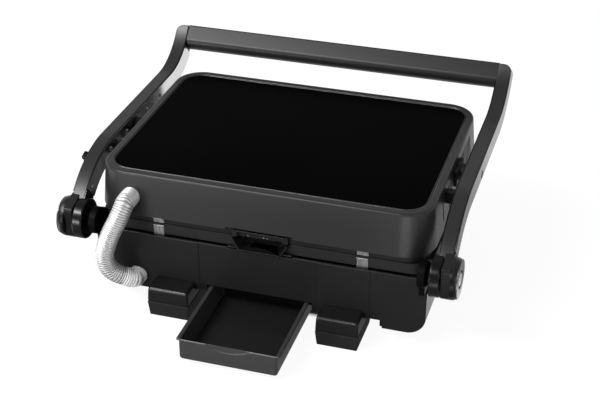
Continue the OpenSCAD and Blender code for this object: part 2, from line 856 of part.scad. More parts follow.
module arm_screws() {
    a = rear_sweep - plate_back - 4;
    spots = concat([[-arm_rear - rear_r * sin(a), rear_cz + rear_r * cos(a)]],
        [for (y = [-56, -18.6, 30.5, arm_front - 30]) [y, arm_mid_z]]);
    color(steel) at_body() pair() for (s = spots) difference() {
        rod(arm_x - 0.9, arm_x, s[0], s[1], 2.3);
        translate([arm_x - 1, s[0] - 1.7, s[1] - 0.4]) cube([0.6, 3.4, 0.8]);
    }
}

module lock_slider() {
    half = slider_stem / 2;
    color(black) at_body() mirror([1, 0, 0]) slider_frame() {
        block(core_x1 - 4, arm_x1 + fit, -half, half, -half, half);
        along_y(-4, 4) polygon([[arm_x1 + fit, -5], [arm_x1 + fit + 2, -4.2], [arm_x1 + fit + 5, 2],
            [arm_x1 + fit + 5, 3.6], [arm_x1 + fit, 3.6]]);
    }
}

// Lid housing with drafted skirt, turned corners and a recess for the panel
function skirt_x(z) = lid_hw + (lid_top - z) * tan(lid_draft);

function skirt_y(z) = lid_hd + (lid_top - z) * tan(lid_draft);

function lid_profile(inset, z1, edge) = concat(
    [[0, lid_z - (inset > 0 ? 1 : 0)],
        [lid_r + (lid_top - lid_z + (inset > 0 ? 1 : 0)) * tan(lid_draft) - inset, lid_z - (inset > 0 ? 1 : 0)]],
    arc(lid_r - inset - edge + (lid_top - z1) * tan(lid_draft), z1 - edge, edge, 0, 90, 6), [[0, z1]]);

module vent_slots() {
    slot_w = 3;
    pitch = 6;
    rows = concat([for (i = [0:7]) 22 + i * pitch], [for (i = [0:2]) -34 + i * pitch], [-59]);
    for (y = rows) pair()
        block(lid_hw - lid_wall - 4, skirt_hw + 1, y, y + slot_w, lid_z + 9, lid_top - 10);
}

post_x = lid_hw - 12;
post_y = lid_hd - 50;

module upper_housing() {
    color(lid_colour) at_body() {
        difference() {
            turned_box(lid_hw - lid_r, lid_hd - lid_r, lid_profile(0, lid_top, lid_edge_r));
            turned_box(lid_hw - lid_r, lid_hd - lid_r, lid_profile(lid_wall, ceiling, lid_edge_r));
            slab(panel_hw + fit, panel_hd + fit, panel_r + fit, lid_top - panel_sink - panel_t, lid_top + 1);
            rod_y(-skirt_hd - 1, -lid_hd + lid_wall + 4, hose_lid[0], hose_lid[1], hose_d / 2 + fit);
            button_slot(lid_hd - 6, skirt_hd + 1, upper_button_z);
            block(spout_x - skirt_notch, spout_x + skirt_notch, -skirt_hd - 1, -lid_hd + 6, lid_z - 1, lid_z + 2.4);
            vent_slots();
        }
        for (sx = [-1, 1], sy = [-1, 1]) translate([sx * post_x, sy * post_y, upper_top]) difference() {
            cylinder(h = ceiling - upper_top + eps, r = 5);
            translate([0, 0, -1]) cylinder(h = 12, r = 1.6);
        }
    }
}

module top_panel() {
    bevel = 0.7;
    z0 = lid_top - panel_sink - panel_t;
    z1 = lid_top - panel_sink;
    c = panel_r;
    color(black) at_body()
        turned_box(panel_hw - c, panel_hd - c, [[0, z0], [c, z0], [c, z1 - bevel], [c - bevel, z1], [0, z1]]);
}

// Pivots: a bracket on each side of the lid with a pin in the arm's slot
module side_pad(y0, y1, z0, z1, x1) {
    along_y(y0, y1) polygon([[skirt_x(z0), z0], [x1, z0], [x1, z1], [skirt_x(z1), z1]]);
}

module lid_pivot() {
    out = arm_x - turn_gap;
    side_pad(pivot_y - 15, pivot_y + 14, pivot_z - 8, pivot_z + 7, skirt_x(pivot_z) + 3);
    intersection() {
        side_pad(pivot_y - 10, pivot_y + 10, pivot_z - 10, pivot_z + 10, out);
        rod(lid_hw, out, pivot_y, pivot_z, 8);
    }
    rod(out - eps, core_x1 - 2, pivot_y, pivot_z, pivot_r);
}

module lid_pivot_left() {
    color(black) at_body() mirror([1, 0, 0]) lid_pivot();
}

module lid_pivot_right() {
    color(black) at_body() lid_pivot();
}

module lid_stops() {
    color(black) at_body() pair() side_pad(-46, -37.5, pivot_z - 6, pivot_z + 5, arm_x - 1.2);
}

module lid_screws() {
    color(steel) at_body() for (sx = [-1, 1], sy = [-1, 1])
        translate([sx * post_x, sy * post_y, upper_top]) cylinder(h = 10, r = 1.5);
}

// Drip tray: open pan with lips along its sides and a finger scoop
module drip_tray() {
    z0 = tray_top - tray_h;
    hw = tray_w / 2;
    y1 = tray_rear + tray_len;
    sag = (pow(scoop_w / 2, 2) + pow(scoop_d, 2)) / (2 * scoop_d);
    color(lid_colour) at_body() difference() {
        union() {
            along_y(tray_rear, y1) polygon([[-hw + 1, z0], [hw - 1, z0], [hw, z0 + 2], [hw, tray_top],
                [-hw, tray_top], [-hw, z0 + 2]]);
            block(-hw - tray_lip, hw + tray_lip, tray_rear + 1, y1, tray_top - tray_wall, tray_top);
        }
        along_y(tray_rear + tray_wall, y1 - tray_wall) polygon([[-hw + tray_wall + 3, z0 + tray_wall],
            [hw - tray_wall - 3, z0 + tray_wall], [hw - tray_wall, tray_top + 1], [-hw + tray_wall, tray_top + 1]]);
        along_y(tray_rear - 1, tray_rear + tray_wall + 1) translate([0, tray_top - scoop_d + sag]) circle(sag);
    }
}

// Controls on the front
module control_panel() {
    z0 = knob_z - fascia_h / 2;
    color(black) at_body() difference() {
        along_y(base_hd, base_hd + fascia_t) translate([0, knob_z]) rounded(fascia_w / 2, fascia_h / 2, 8);
        rod_y(base_hd - 1, base_hd + fascia_t + 1, 0, knob_z, shaft_r + slack);
        for (sx = [-1, 1]) rod_y(base_hd - 1, base_hd + fascia_t + 1, sx * lens_x, knob_z, 3);
    }
}

module indicator_lenses() {
    color("firebrick") at_body() for (sx = [-1, 1]) rod_y(base_hd, base_hd + fascia_t + 0.8, sx * lens_x, knob_z, 2.9);
}

module thermostat() {
    color(steel) at_body() difference() {
        block(-15, 15, base_in_hd - 20, base_in_hd, knob_z - 15, knob_z + 13);
        rod_y(base_in_hd - 14, base_in_hd + 1, 0, knob_z, shaft_r + pin_clear);
    }
}

module thermostat_knob() {
    y0 = base_hd + fascia_t + turn_gap;
    r = knob_d / 2;
    color(black) at_body() {
        difference() {
            rod_y(y0, y0 + knob_len, 0, knob_z, r);
            for (i = [0:knob_flutes - 1]) rotate_about_knob(i * 360 / knob_flutes)
                rod_y(y0 + 3, y0 + knob_len + 1, r + 1, knob_z, 2.2);
            translate([-0.7, y0 + knob_len - 0.8, knob_z + 2]) cube([1.4, 2, r]);
        }
        rod_y(base_in_hd - 13, y0 + eps, 0, knob_z, shaft_r);
    }
}

module rotate_about_knob(a) {
    translate([0, 0, knob_z]) rotate([0, a, 0]) translate([0, 0, -knob_z]) children();
}

// Plate release buttons: a pad on a stem through a slot in the wall
lower_button_z = base_top - 7;
upper_button_z = lid_z + 9;

module button_slot(y0, y1, z) {
    half = button_w / 2 - 2 + fit;
    half_h = button_h / 2 - 1 + fit;
    block(-half, half, y0, y1, z - half_h, z + half_h);
}

module release_button(y, z) {
    hw = button_w / 2;
    pad_y = y + button_travel + fit;
    block(-hw + 2, hw - 2, y - 6, pad_y + eps, z - button_h / 2 + 1, z + button_h / 2 - 1);
    along_y(pad_y, pad_y + 3) translate([0, z]) rounded(hw, button_h / 2, 2.6);
}

module lower_release_button() {
    color(black) at_body() release_button(base_hd, lower_button_z);
}

module upper_release_button() {
    color(black) at_body() release_button(skirt_y(upper_button_z), upper_button_z);
}

module terminal_block() {
    z = floor_z + floor_t;
    color("ivory") at_body() difference() {
        block(-96, -66, 20, 38, z, z + 14);
        for (i = [0:2]) translate([-90 + 9 * i, 29, z + 4]) cylinder(h = 12, r = 2.2);
    }
}

// Bush in the floor beside the right rear foot, where the mains lead enters
gland_r = 4.6;
gland_flange = gland_r + 1.4;
gland_x = floor_half - base_wall - gland_flange - slack;
gland_y = -base_hd + foot_under + gland_flange + slack;

module cord_gland() {
    color(black) at_body() translate([gland_x, gland_y, 0]) difference() {
        union() {
            translate([0, 0, floor_z - 3]) cylinder(h = 3, r = gland_flange);
            translate([0, 0, floor_z]) cylinder(h = floor_t + 3, r = gland_r);
        }
        translate([0, 0, floor_z - 4]) cylinder(h = floor_t + 10, r = 3);
    }
}

// Ribbed hose: rings swept along a smooth curve through the route
function spline(p0, p1, p2, p3, t) = 0.5 * (2 * p1 + (p2 - p0) * t + (2 * p0 - 5 * p1 + 4 * p2 - p3) * t * t
    + (3 * p1 - p0 - 3 * p2 + p3) * t * t * t);

function hose_knot(i) = hose_path[min(max(i, 0), len(hose_path) - 1)];

spline_steps = 24;
hose_curve = [for (i = [0:len(hose_path) - 2], k = [0:spline_steps - 1])
    let (t = k / spline_steps, straight = i == 0 || i == len(hose_path) - 2)
    straight ? hose_path[i] + (hose_path[i + 1] - hose_path[i]) * t
        : spline(hose_knot(i - 1), hose_knot(i), hose_knot(i + 1), hose_knot(i + 2), t)];
hose_line = concat(hose_curve, [hose_path[len(hose_path) - 1]]);

function run_length(pts, i) = i == 0 ? 0 : run_length(pts, i - 1) + norm(pts[i] - pts[i - 1]);

hose_runs = [for (i = 0, s = 0; i < len(hose_line); i = i + 1,
    s = s + (i < len(hose_line) ? norm(hose_line[i] - hose_line[i - 1]) : 0)) s];
hose_len = hose_runs[len(hose_runs) - 1];

function hose_at(s, i = 0) = i >= len(hose_line) - 2 || hose_runs[i + 1] >= s
    ? let (f = (s - hose_runs[i]) / (hose_runs[i + 1] - hose_runs[i]))
        hose_line[i] + (hose_line[i + 1] - hose_line[i]) * f
    : hose_at(s, i + 1);

function unit(v) = v / norm(v);

function hose_ring(s, r, sides) =
    let (c = hose_at(s), h = 0.6, d = unit(hose_at(min(s + h, hose_len)) - hose_at(max(s - h, 0))),
        u = unit(cross(d, [1, 0.35, 0.2])), v = cross(d, u))
    [for (k = [0:sides - 1]) c + r * (u * cos(k * 360 / sides) + v * sin(k * 360 / sides))];

module cable_hose() {
    sides = 8;
    rings = 2 * hose_ribs + 1;
    outer = [for (i = [0:rings - 1])
        hose_ring(hose_len * i / (rings - 1), hose_d / 2 - (i % 2 == 0 ? hose_rib : 0), sides)];
    inner = [for (i = [0:rings - 1]) hose_ring(hose_len * i / (rings - 1), hose_bore / 2, sides)];
    pts = [for (loop = concat(outer, inner), p = loop) p];
    n = rings * sides;
    last = (rings - 1) * sides;
    skin = [for (i = [0:rings - 2], k = [0:sides - 1]) let (a = i * sides + k, b = i * sides + (k + 1) % sides)
        each [[a, b, b + sides], [a, b + sides, a + sides]]];
    bore = [for (f = skin) [f[2] + n, f[1] + n, f[0] + n]];
    ends = [for (k = [0:sides - 1]) let (j = (k + 1) % sides)
        each [[k, n + k, n + j], [k, n + j, j], [last + k, last + j, last + n + j], [last + k, last + n + j, last + n + k]]];
    color(steel) at_body() polyhedron(pts, concat(skin, bore, ends));
}

lower_housing();
base_floor();
tray_runners();
rear_foot_left();
rear_foot_right();
front_feet();
foot_pads();
floor_screws();
lower_plate();
lower_heating_element();
lower_heat_shield();
lower_plate_clips();
spout_chute();
trunnion_left();
trunnion_right();
hinge_pins();
control_panel();
thermostat();
indicator_lenses();
terminal_block();
cord_gland();
cable_hose();
left_arm();
right_arm();
left_arm_inner_plate();
left_arm_outer_plate();
right_arm_inner_plate();
right_arm_outer_plate();
handle_bar();
hub_disc_left();
hub_disc_right();
hub_caps();
hub_bolts();
arm_screws();
lock_slider();
upper_housing();
top_panel();
upper_plate();
upper_heating_element();
upper_heat_shield();
upper_plate_clips();
spout_bar();
spout_rivets();
lid_pivot_left();
lid_pivot_right();
lid_stops();
lid_screws();
drip_tray();
thermostat_knob();
lower_release_button();
upper_release_button();
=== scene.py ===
import json
import math

import bmesh
import bpy
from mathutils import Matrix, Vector
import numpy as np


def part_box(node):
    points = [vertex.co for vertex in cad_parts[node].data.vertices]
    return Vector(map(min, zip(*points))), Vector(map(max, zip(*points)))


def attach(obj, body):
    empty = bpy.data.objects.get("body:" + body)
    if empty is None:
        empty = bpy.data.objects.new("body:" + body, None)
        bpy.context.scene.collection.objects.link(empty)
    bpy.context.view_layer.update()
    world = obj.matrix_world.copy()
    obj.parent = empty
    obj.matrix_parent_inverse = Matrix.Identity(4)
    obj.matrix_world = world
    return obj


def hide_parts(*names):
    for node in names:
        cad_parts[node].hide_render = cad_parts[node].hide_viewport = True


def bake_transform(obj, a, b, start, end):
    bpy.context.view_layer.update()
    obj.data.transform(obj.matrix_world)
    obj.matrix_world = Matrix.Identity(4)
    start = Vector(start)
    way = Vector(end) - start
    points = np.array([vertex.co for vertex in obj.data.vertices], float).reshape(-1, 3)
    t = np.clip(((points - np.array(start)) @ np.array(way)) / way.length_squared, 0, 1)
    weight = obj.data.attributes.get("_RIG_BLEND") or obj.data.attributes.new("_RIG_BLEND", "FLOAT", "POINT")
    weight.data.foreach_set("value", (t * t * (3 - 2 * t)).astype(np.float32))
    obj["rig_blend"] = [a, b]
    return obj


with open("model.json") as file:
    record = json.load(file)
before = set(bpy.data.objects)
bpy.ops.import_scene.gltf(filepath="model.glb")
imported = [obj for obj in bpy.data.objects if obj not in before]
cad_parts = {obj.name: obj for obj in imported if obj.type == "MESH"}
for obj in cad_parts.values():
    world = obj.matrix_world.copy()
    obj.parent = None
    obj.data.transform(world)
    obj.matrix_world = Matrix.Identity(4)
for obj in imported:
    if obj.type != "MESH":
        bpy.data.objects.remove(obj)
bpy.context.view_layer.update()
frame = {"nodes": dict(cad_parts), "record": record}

scene = bpy.context.scene
mm = 0.001

# Camera: behind the grill and a little to its right, looking down on it,
# with a long lens as for a catalogue picture.
camera_place = (0.3303, -1.0461, 0.7079)
camera_down, camera_round, camera_lens = 30.124, 17.063, 80.507


def placed(name, data):
    """A new object in the scene."""
    obj = bpy.data.objects.new(name, data)
    scene.collection.objects.link(obj)
    return obj


camera = placed("camera", bpy.data.cameras.new("camera"))
camera.location = camera_place
camera.rotation_euler = (math.radians(90 - camera_down), 0, math.radians(camera_round))
camera.data.sensor_width = 36
camera.data.lens = camera_lens
scene.camera = camera

# Cable hose: a bright corrugated metal hose that takes the heater's wires from the
# lid's skirt down to the rear wall of the base. It is pushed through a hole at each
# end, and a finer crimped cuff holds its lower end.
hose_route = [(-119, -86.499, 109.5), (-119, -108.683, 109.5), (-119.5, -115.699, 106),
              (-122.5, -120.699, 97), (-127.5, -123.199, 86.5), (-132.5, -124.199, 74.5),
              (-136.5, -123.699, 61.5), (-137, -121.699, 50.5), (-134, -118.699, 41.5),
              (-127.5, -113.699, 34), (-117, -104.583, 27), (-117, -87.833, 26)]
hose_radius, hose_rib = 8.7 * mm, 0.7 * mm
hose_fine_pitch, hose_coarse_pitch, hose_coarse_from = 1.9 * mm, 2.7 * mm, 84 * mm
hose_end_length, hose_overlap = 24 * mm, 0.1 * mm
cuff_length, cuff_rib, cuff_pitch = 29 * mm, 0.45 * mm, 2.0 * mm
cuff_over, cuff_short = 0.05 * mm, 0.5 * mm
rib_steps, ring_points = 8, 36
texture_low, texture_high = 0.3, 0.7


def hose_line(steps=24):
    """Points along the hose, on the same smooth curve through the route as the solid has."""
    p = [Vector(q) * mm for q in hose_route]
    line = []
    for i in range(len(p) - 1):
        a, b, c, d = p[max(i - 1, 0)], p[i], p[i + 1], p[min(i + 2, len(p) - 1)]
        for k in range(steps):
            t = k / steps
            if i in (0, len(p) - 2):
                line.append(b.lerp(c, t))
            else:
                line.append(0.5 * (2 * b + (c - a) * t + (2 * a - 5 * b + 4 * c - d) * t * t
                                   + (3 * b - a - 3 * c + d) * t ** 3))
    return line + [p[-1]]


def stretch_of(line, start, end):
    """The part of a line between two distances along it."""
    out, run = [], 0.0
    for a, b in zip(line, line[1:]):
        step = (b - a).length
        for at in (start, end):
            if run <= at < run + step:
                out.append(a.lerp(b, (at - run) / step))
        if start < run + step < end:
            out.append(b)
        run += step
    return out


def length_of(line):
    return sum((b - a).length for a, b in zip(line, line[1:]))


def line_object(name, points):
    """A line through points, for a tree to sweep along."""
    curve = bpy.data.curves.new(name, "CURVE")
    curve.dimensions = "3D"
    spline = curve.splines.new("POLY")
    spline.points.add(len(points) - 1)
    for p, q in zip(spline.points, points):
        p.co = (*q, 1)
    return placed(name, curve)


def add_node(tree, kind, inputs=None, **settings):
    """A node with its settings; each input gets a value or is linked to a socket."""
    made = tree.nodes.new(kind)
    for label, value in settings.items():
        setattr(made, label, value)
    for key, value in (inputs or {}).items():
        if isinstance(value, bpy.types.NodeSocket):
            tree.links.new(value, made.inputs[key])
        else:
            made.inputs[key].default_value = value
    return made


def sum_node(tree, operation, *values):
    """A Math node's result; each value is a socket or a number."""
    return add_node(tree, "ShaderNodeMath", dict(enumerate(values)), operation=operation).outputs[0]


def between(tree, source, low, high, start, end):
    """Maps a value from one range to another and holds it at the ends."""
    return add_node(tree, "ShaderNodeMapRange", {
        "Value": source, "From Min": low, "From Max": high, "To Min": start, "To Max": end,
    }).outputs["Result"]


def new_tree(name, sockets):
    """A Geometry Nodes tree with named sizes: itself, what it is given and where it ends."""
    tree = bpy.data.node_groups.new(name, "GeometryNodeTree")
    tree.interface.new_socket("Geometry", in_out="INPUT", socket_type="NodeSocketGeometry")
    for label, kind, value in sockets:
        socket = tree.interface.new_socket(label, in_out="INPUT", socket_type=kind)
        if value is not None:
            socket.default_value = value
    tree.interface.new_socket("Geometry", in_out="OUTPUT", socket_type="NodeSocketGeometry")
    given, out = tree.nodes.new("NodeGroupInput"), tree.nodes.new("NodeGroupOutput")
    return tree, given.outputs, out.inputs[0]


def end_tree(tree, geometry, material, out):
    """Makes instances real, gives them their material and ends the tree."""
    real = add_node(tree, "GeometryNodeRealizeInstances", {0: geometry})
    paint = add_node(tree, "GeometryNodeSetMaterial", {
        "Geometry": real.outputs[0], "Material": material})
    tree.links.new(paint.outputs[0], out)
    return tree


def make_plain(obj):
    """Turns what the modifiers give into the object's own mesh."""
    deps = bpy.context.evaluated_depsgraph_get()
    mesh = bpy.data.meshes.new_from_object(obj.evaluated_get(deps), depsgraph=deps)
    if obj.type == "MESH":
        obj.modifiers.clear()
        obj.data = mesh
        return obj
    name = obj.name
    bpy.data.objects.remove(obj)
    return placed(name, mesh)


def grow(obj, tree, values):
    """Runs a Geometry Nodes tree on an object and keeps the result as a plain mesh."""
    mod = obj.modifiers.new("grow", "NODES")
    mod.node_group = tree
    ids = {s.name: s.identifier for s in tree.interface.items_tree if s.in_out == "INPUT"}
    for label, value in values.items():
        mod[ids[label]] = value
    return make_plain(obj)


def hose_tree():
    """Sweeps a ring along the line, its radius waving once for each rib."""
    number = "NodeSocketFloat"
    tree, given, out = new_tree("corrugated_hose", [
        ("Radius", number, hose_radius), ("Rib", number, hose_rib),
        ("Pitch", number, hose_fine_pitch), ("Coarse pitch", number, hose_coarse_pitch),
        ("Coarse from", number, hose_coarse_from), ("Start", number, 0.0),
        ("Material", "NodeSocketMaterial", None)])

    def calc(operation, *values):
        return sum_node(tree, operation, *values)

    again = add_node(tree, "GeometryNodeResampleCurve", {
        "Curve": given["Geometry"],
        "Length": calc("DIVIDE", given["Pitch"], rib_steps)}, mode="LENGTH")
    place = add_node(tree, "GeometryNodeSplineParameter")
    along = calc("ADD", place.outputs["Length"], given["Start"])
    late = calc("MAXIMUM", calc("SUBTRACT", along, given["Coarse from"]), 0.0)
    slower = calc("SUBTRACT", calc("DIVIDE", 1.0, given["Pitch"]),
                  calc("DIVIDE", 1.0, given["Coarse pitch"]))
    ribs = calc("SUBTRACT", calc("DIVIDE", along, given["Pitch"]), calc("MULTIPLY", late, slower))
    wave = calc("ABSOLUTE", calc("SINE", calc("MULTIPLY", ribs, math.pi)))
    groove = calc("MULTIPLY", calc("SUBTRACT", 1.0, wave), given["Rib"])
    thick = add_node(tree, "GeometryNodeSetCurveRadius", {
        "Curve": again.outputs[0], "Radius": calc("SUBTRACT", given["Radius"], groove)})
    crest = add_node(tree, "GeometryNodeStoreNamedAttribute", {
        "Geometry": thick.outputs[0], "Name": "crest", "Value": wave},
        data_type="FLOAT", domain="POINT")
    ring = add_node(tree, "GeometryNodeCurvePrimitiveCircle", {
        "Resolution": ring_points, "Radius": 1.0})
    sweep = add_node(tree, "GeometryNodeCurveToMesh", {
        "Curve": crest.outputs[0], "Profile Curve": ring.outputs[0], "Fill Caps": True,
        "Scale": add_node(tree, "GeometryNodeInputRadius").outputs[0]})
    smooth = add_node(tree, "GeometryNodeSetShadeSmooth", {"Geometry": sweep.outputs[0]})
    return end_tree(tree, smooth.outputs[0], given["Material"], out)


def shader(name):
    """A new node material, its tree and its main shader."""
    mat = bpy.data.materials.new(name)
    mat.use_nodes = True
    return mat, mat.node_tree, mat.node_tree.nodes["Principled BSDF"]


def texture_at(tree, kind, scale, stretch=(1, 1, 1), **inputs):
    """A texture in Object coordinates, per metre, stretched along an axis if asked."""
    coord = add_node(tree, "ShaderNodeTexCoord")
    mapping = add_node(tree, "ShaderNodeMapping", {
        "Vector": coord.outputs["Object"], "Scale": stretch})
    return add_node(tree, kind, {"Vector": mapping.outputs["Vector"], "Scale": scale, **inputs})


def spread(tree, source, low, high, socket):
    """Maps a texture's middle range onto two values of a shader input."""
    tree.links.new(between(tree, source, texture_low, texture_high, low, high), socket)


def tint(tree, source, dark, light, socket, low=texture_low, high=texture_high):
    """Maps a texture onto two colours."""
    ramp = add_node(tree, "ShaderNodeValToRGB", {"Fac": source})
    for stop, at, colour in zip(ramp.color_ramp.elements, (low, high), (dark, light)):
        stop.position, stop.color = at, (*colour, 1)
    tree.links.new(ramp.outputs["Color"], socket)


def relief(tree, bsdf, source, strength, height):
    """Fine surface relief of a given height in metres."""
    bump = add_node(tree, "ShaderNodeBump", {
        "Strength": strength, "Distance": height, "Height": source})
    tree.links.new(bump.outputs["Normal"], bsdf.inputs["Normal"])


def shade_by(mat, factor):
    """Multiplies a material's colour by a value."""
    tree = mat.node_tree
    base = tree.nodes["Principled BSDF"].inputs["Base Color"]
    layer = add_node(tree, "ShaderNodeVectorMath", {
        0: base.links[0].from_socket, "Scale": factor}, operation="SCALE")
    tree.links.new(layer.outputs["Vector"], base)


def grey(value):
    return (value, value, value * 1.01)


def bright_metal(name, low, high, rough, scale, stretch=(1, 1, 1), height=0.00002, metallic=1.0):
    """Bare metal with fine lines from drawing or brushing, along the axis that stretch keeps."""
    mat, tree, bsdf = shader(name)
    bsdf.inputs["Metallic"].default_value = metallic
    lines = texture_at(tree, "ShaderNodeTexNoise", scale, stretch, Detail=3.0).outputs[0]
    tint(tree, lines, grey(low), grey(high), bsdf.inputs["Base Color"])
    spread(tree, lines, rough * 0.85, rough * 1.2, bsdf.inputs["Roughness"])
    relief(tree, bsdf, lines, 0.25, height)
    return mat


def painted_groove_shade(mat, low):
    """Darkens a hose metal in the grooves between its ribs: painted shade in the grooves."""
    tree = mat.node_tree
    crest = add_node(tree, "ShaderNodeAttribute", attribute_name="crest").outputs["Fac"]
    shade_by(mat, between(tree, crest, 0.2, 0.85, low, 1.0))
    return mat


# The hose and its cuff are painted darker in their grooves: painted shade.
hose_metal = painted_groove_shade(bright_metal("hose_metal", 0.78, 0.88, rough=0.46, scale=300,
                                  height=0.00001, metallic=0.75), 0.5)
cuff_metal = painted_groove_shade(bright_metal("cuff_metal", 0.95, 0.98, rough=0.6, scale=300,
                                  height=0.00001, metallic=0.2), 0.62)
full_line = hose_line()
hose_length = length_of(full_line)
corrugation = hose_tree()
run_line = stretch_of(full_line, hose_end_length, hose_length - 1e-6)
end_line = stretch_of(full_line, 0.0, hose_end_length + hose_overlap)
cuff_line = stretch_of(full_line, hose_length - cuff_length, hose_length - cuff_short)
hose_run = grow(line_object("hose_run", run_line), corrugation,
                {"Start": hose_end_length, "Material": hose_metal})
hose_end = grow(line_object("hose_end", end_line), corrugation, {"Material": hose_metal})
hose_cuff = grow(line_object("hose_cuff", cuff_line), corrugation, {
    "Radius": hose_radius + cuff_over, "Rib": cuff_rib, "Pitch": cuff_pitch,
    "Coarse pitch": cuff_pitch, "Material": cuff_metal})
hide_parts("cable_hose")
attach(hose_cuff, "base")
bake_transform(hose_run, "base", "handle_frame",
         start=(-0.1365, -0.1237, 0.0615), end=(-0.1205, -0.1180, 0.1040))
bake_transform(hose_end, "handle_frame", "lid",
         start=(-0.119, -0.1130, 0.1085), end=(-0.119, -0.1000, 0.1095))

# Lower housing: the black tub, moulded in heat-resistant plastic with a fine eroded
# grain. Its rear wall has two raised columns over the feet, and openings for tray and hose.
body_of = {n: b for b, ns in frame["record"]["behaviour"]["bodies"].items() for n in ns}
round_above, sharp_above, flat_below = math.radians(22), math.radians(15), math.radians(0.5)
same_point = 2e-6


def skinned(name, bm):
    """An object with a finished bmesh as its mesh."""
    mesh = bpy.data.meshes.new(name)
    bm.to_mesh(mesh)
    bm.free()
    return placed(name, mesh)


def rounded_over(obj, width, steps, **limit):
    """Rounds the edges that a limit names and keeps an object's flat faces flat."""
    edge = obj.modifiers.new("edge", "BEVEL")
    edge.width, edge.segments, edge.use_clamp_overlap = width, steps, False
    for label, value in limit.items():
        setattr(edge, label, value)
    obj.modifiers.new("flat", "WEIGHTED_NORMAL").keep_sharp = True
    return make_plain(obj)


def eased(node, edge, steps=2, more=None):
    """A copy of a node's solid with its sharp edges rounded over to a small radius.
    more(middle) gives an edge a share of that radius by where its middle is."""
    bm = bmesh.new()
    bm.from_mesh(frame["nodes"][node].data)
    bmesh.ops.remove_doubles(bm, verts=bm.verts, dist=same_point)
    bmesh.ops.dissolve_limit(bm, angle_limit=flat_below, verts=bm.verts, edges=bm.edges)
    for face in bm.faces:
        face.smooth = True
    share = bm.edges.layers.float.new("bevel_weight_edge")
    for e in bm.edges:
        turn = e.calc_face_angle() if len(e.link_faces) == 2 else 0
        if turn > round_above:
            e[share] = more((e.verts[0].co + e.verts[1].co) / 2) if more else 1.0
        elif turn > sharp_above:
            e.smooth = False
    obj = skinned(node + "_eased", bm)
    stored = obj.data.attributes
    for label in [a.name for a in stored if a.name in ("custom_normal", "sharp_face")]:
        stored.remove(stored[label])
    return rounded_over(obj, edge, steps, limit_method="WEIGHT")


def fit_piece(obj, mat, node):
    """Gives a finished piece its material and puts it on the body of the node it stands for."""
    obj.data.materials.clear()
    obj.data.materials.append(mat)
    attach(obj, body_of[node])
    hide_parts(node)
    return obj


def ease_in(node, edge, mat, steps=2):
    """Shows a node by its own solid, with edges rounded to a radius in millimetres."""
    return fit_piece(eased(node, edge * mm, steps), mat, node)


def paint_where(obj, mat, chosen):
    """Gives a second material to the faces that a test of centre and normal chooses."""
    obj.data.materials.append(mat)
    for face in obj.data.polygons:
        face.material_index = int(chosen(face.center, face.normal))


def moulded(name, tone, rough, grain=2600, height=0.00003, gloss=0.3):
    """Injection-moulded plastic with an eroded grain and slightly uneven sheen."""
    mat, tree, bsdf = shader(name)
    fine = texture_at(tree, "ShaderNodeTexNoise", grain, Detail=2.0).outputs[0]
    broad = texture_at(tree, "ShaderNodeTexNoise", 30, Detail=3.0).outputs[0]
    tint(tree, broad, grey(tone * 0.92), grey(tone * 1.08), bsdf.inputs["Base Color"])
    spread(tree, fine, rough * 0.9, rough * 1.12, bsdf.inputs["Roughness"])
    relief(tree, bsdf, fine, 0.35, height)
    bsdf.inputs["Specular IOR Level"].default_value = gloss
    return mat


housing_plastic = moulded("housing_plastic", tone=0.0105, rough=0.42, gloss=0.2)
flank_x, flank_y, flank_z = 140 * mm, -95 * mm, 24 * mm
rim_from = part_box("lower_housing")[1].z - 0.8 * mm
tub = fit_piece(eased("lower_housing", 0.9 * mm, 3, lambda m: 1.0 if m.z > rim_from else 0.4),
                housing_plastic, "lower_housing")
# The columns' side faces get a paler copy of the tub's plastic: painted light that lifts the shade at their
# edges.
paint_where(tub, moulded("column_flank_plastic", tone=0.022, rough=0.42, gloss=0.2),
            lambda c, n: abs(n.x) > 0.4 and abs(c.x) < flank_x and c.y < flank_y and c.z > flank_z)

# Floor and tray runners: a moulded plate in the tub's plastic that closes it from below,
# with the raised bay for the drip tray and the two strips that its lips slide on.
ease_in("base_floor", 0.3, housing_plastic)
ease_in("tray_runners", 0.2, housing_plastic)

# Feet: four moulded blocks under the tub, the rear pair standing out behind the wall,
# each with a rubber pad below a seam.
foot_plastic = moulded("foot_plastic", tone=0.008, rough=0.30, gloss=0.26)
pad_rubber = moulded("pad_rubber", tone=0.0125, rough=0.62, grain=1500, height=0.00005, gloss=0.25)
ease_in("rear_foot_left", 1.7, foot_plastic, 4)
ease_in("rear_foot_right", 1.7, foot_plastic, 4)
ease_in("front_feet", 0.5, foot_plastic)
ease_in("foot_pads", 0.6, pad_rubber, 3)


# Floor screws: six steel pan heads with a hexagon socket, which hold the floor up into
# the tub. Each is driven home to a different turn.
def lofted(name, rings, round_again=False):
    """A closed skin through loops of equal length: flat faces over the first and the last,
    or the last joined to the first again."""
    bm = bmesh.new()
    rows = [[bm.verts.new(p) for p in ring] for ring in rings]
    for a, b in zip(rows, rows[1:] + (rows[:1] if round_again else [])):
        for i in range(len(a)):
            j = (i + 1) % len(a)
            bm.faces.new((a[i], a[j], b[j], b[i]))
    if not round_again:
        bm.faces.new(rows[0][::-1])
        bm.faces.new(rows[-1])
    bmesh.ops.remove_doubles(bm, verts=bm.verts, dist=1e-6)
    bmesh.ops.dissolve_degenerate(bm, edges=bm.edges, dist=1e-7)
    bmesh.ops.recalc_face_normals(bm, faces=bm.faces)
    for face in bm.faces:
        face.smooth = True
    return skinned(name, bm)


def round_edges(obj, width, steps=2, corner=28):
    """Rounds an object's sharp edges to a radius in millimetres."""
    return rounded_over(obj, width * mm, steps, limit_method="ANGLE",
                        angle_limit=math.radians(corner))


def joined(name, *objs):
    """Several shells in one object."""
    bm = bmesh.new()
    for obj in objs:
        bm.from_mesh(obj.data)
        bpy.data.objects.remove(obj)
    return skinned(name, bm)


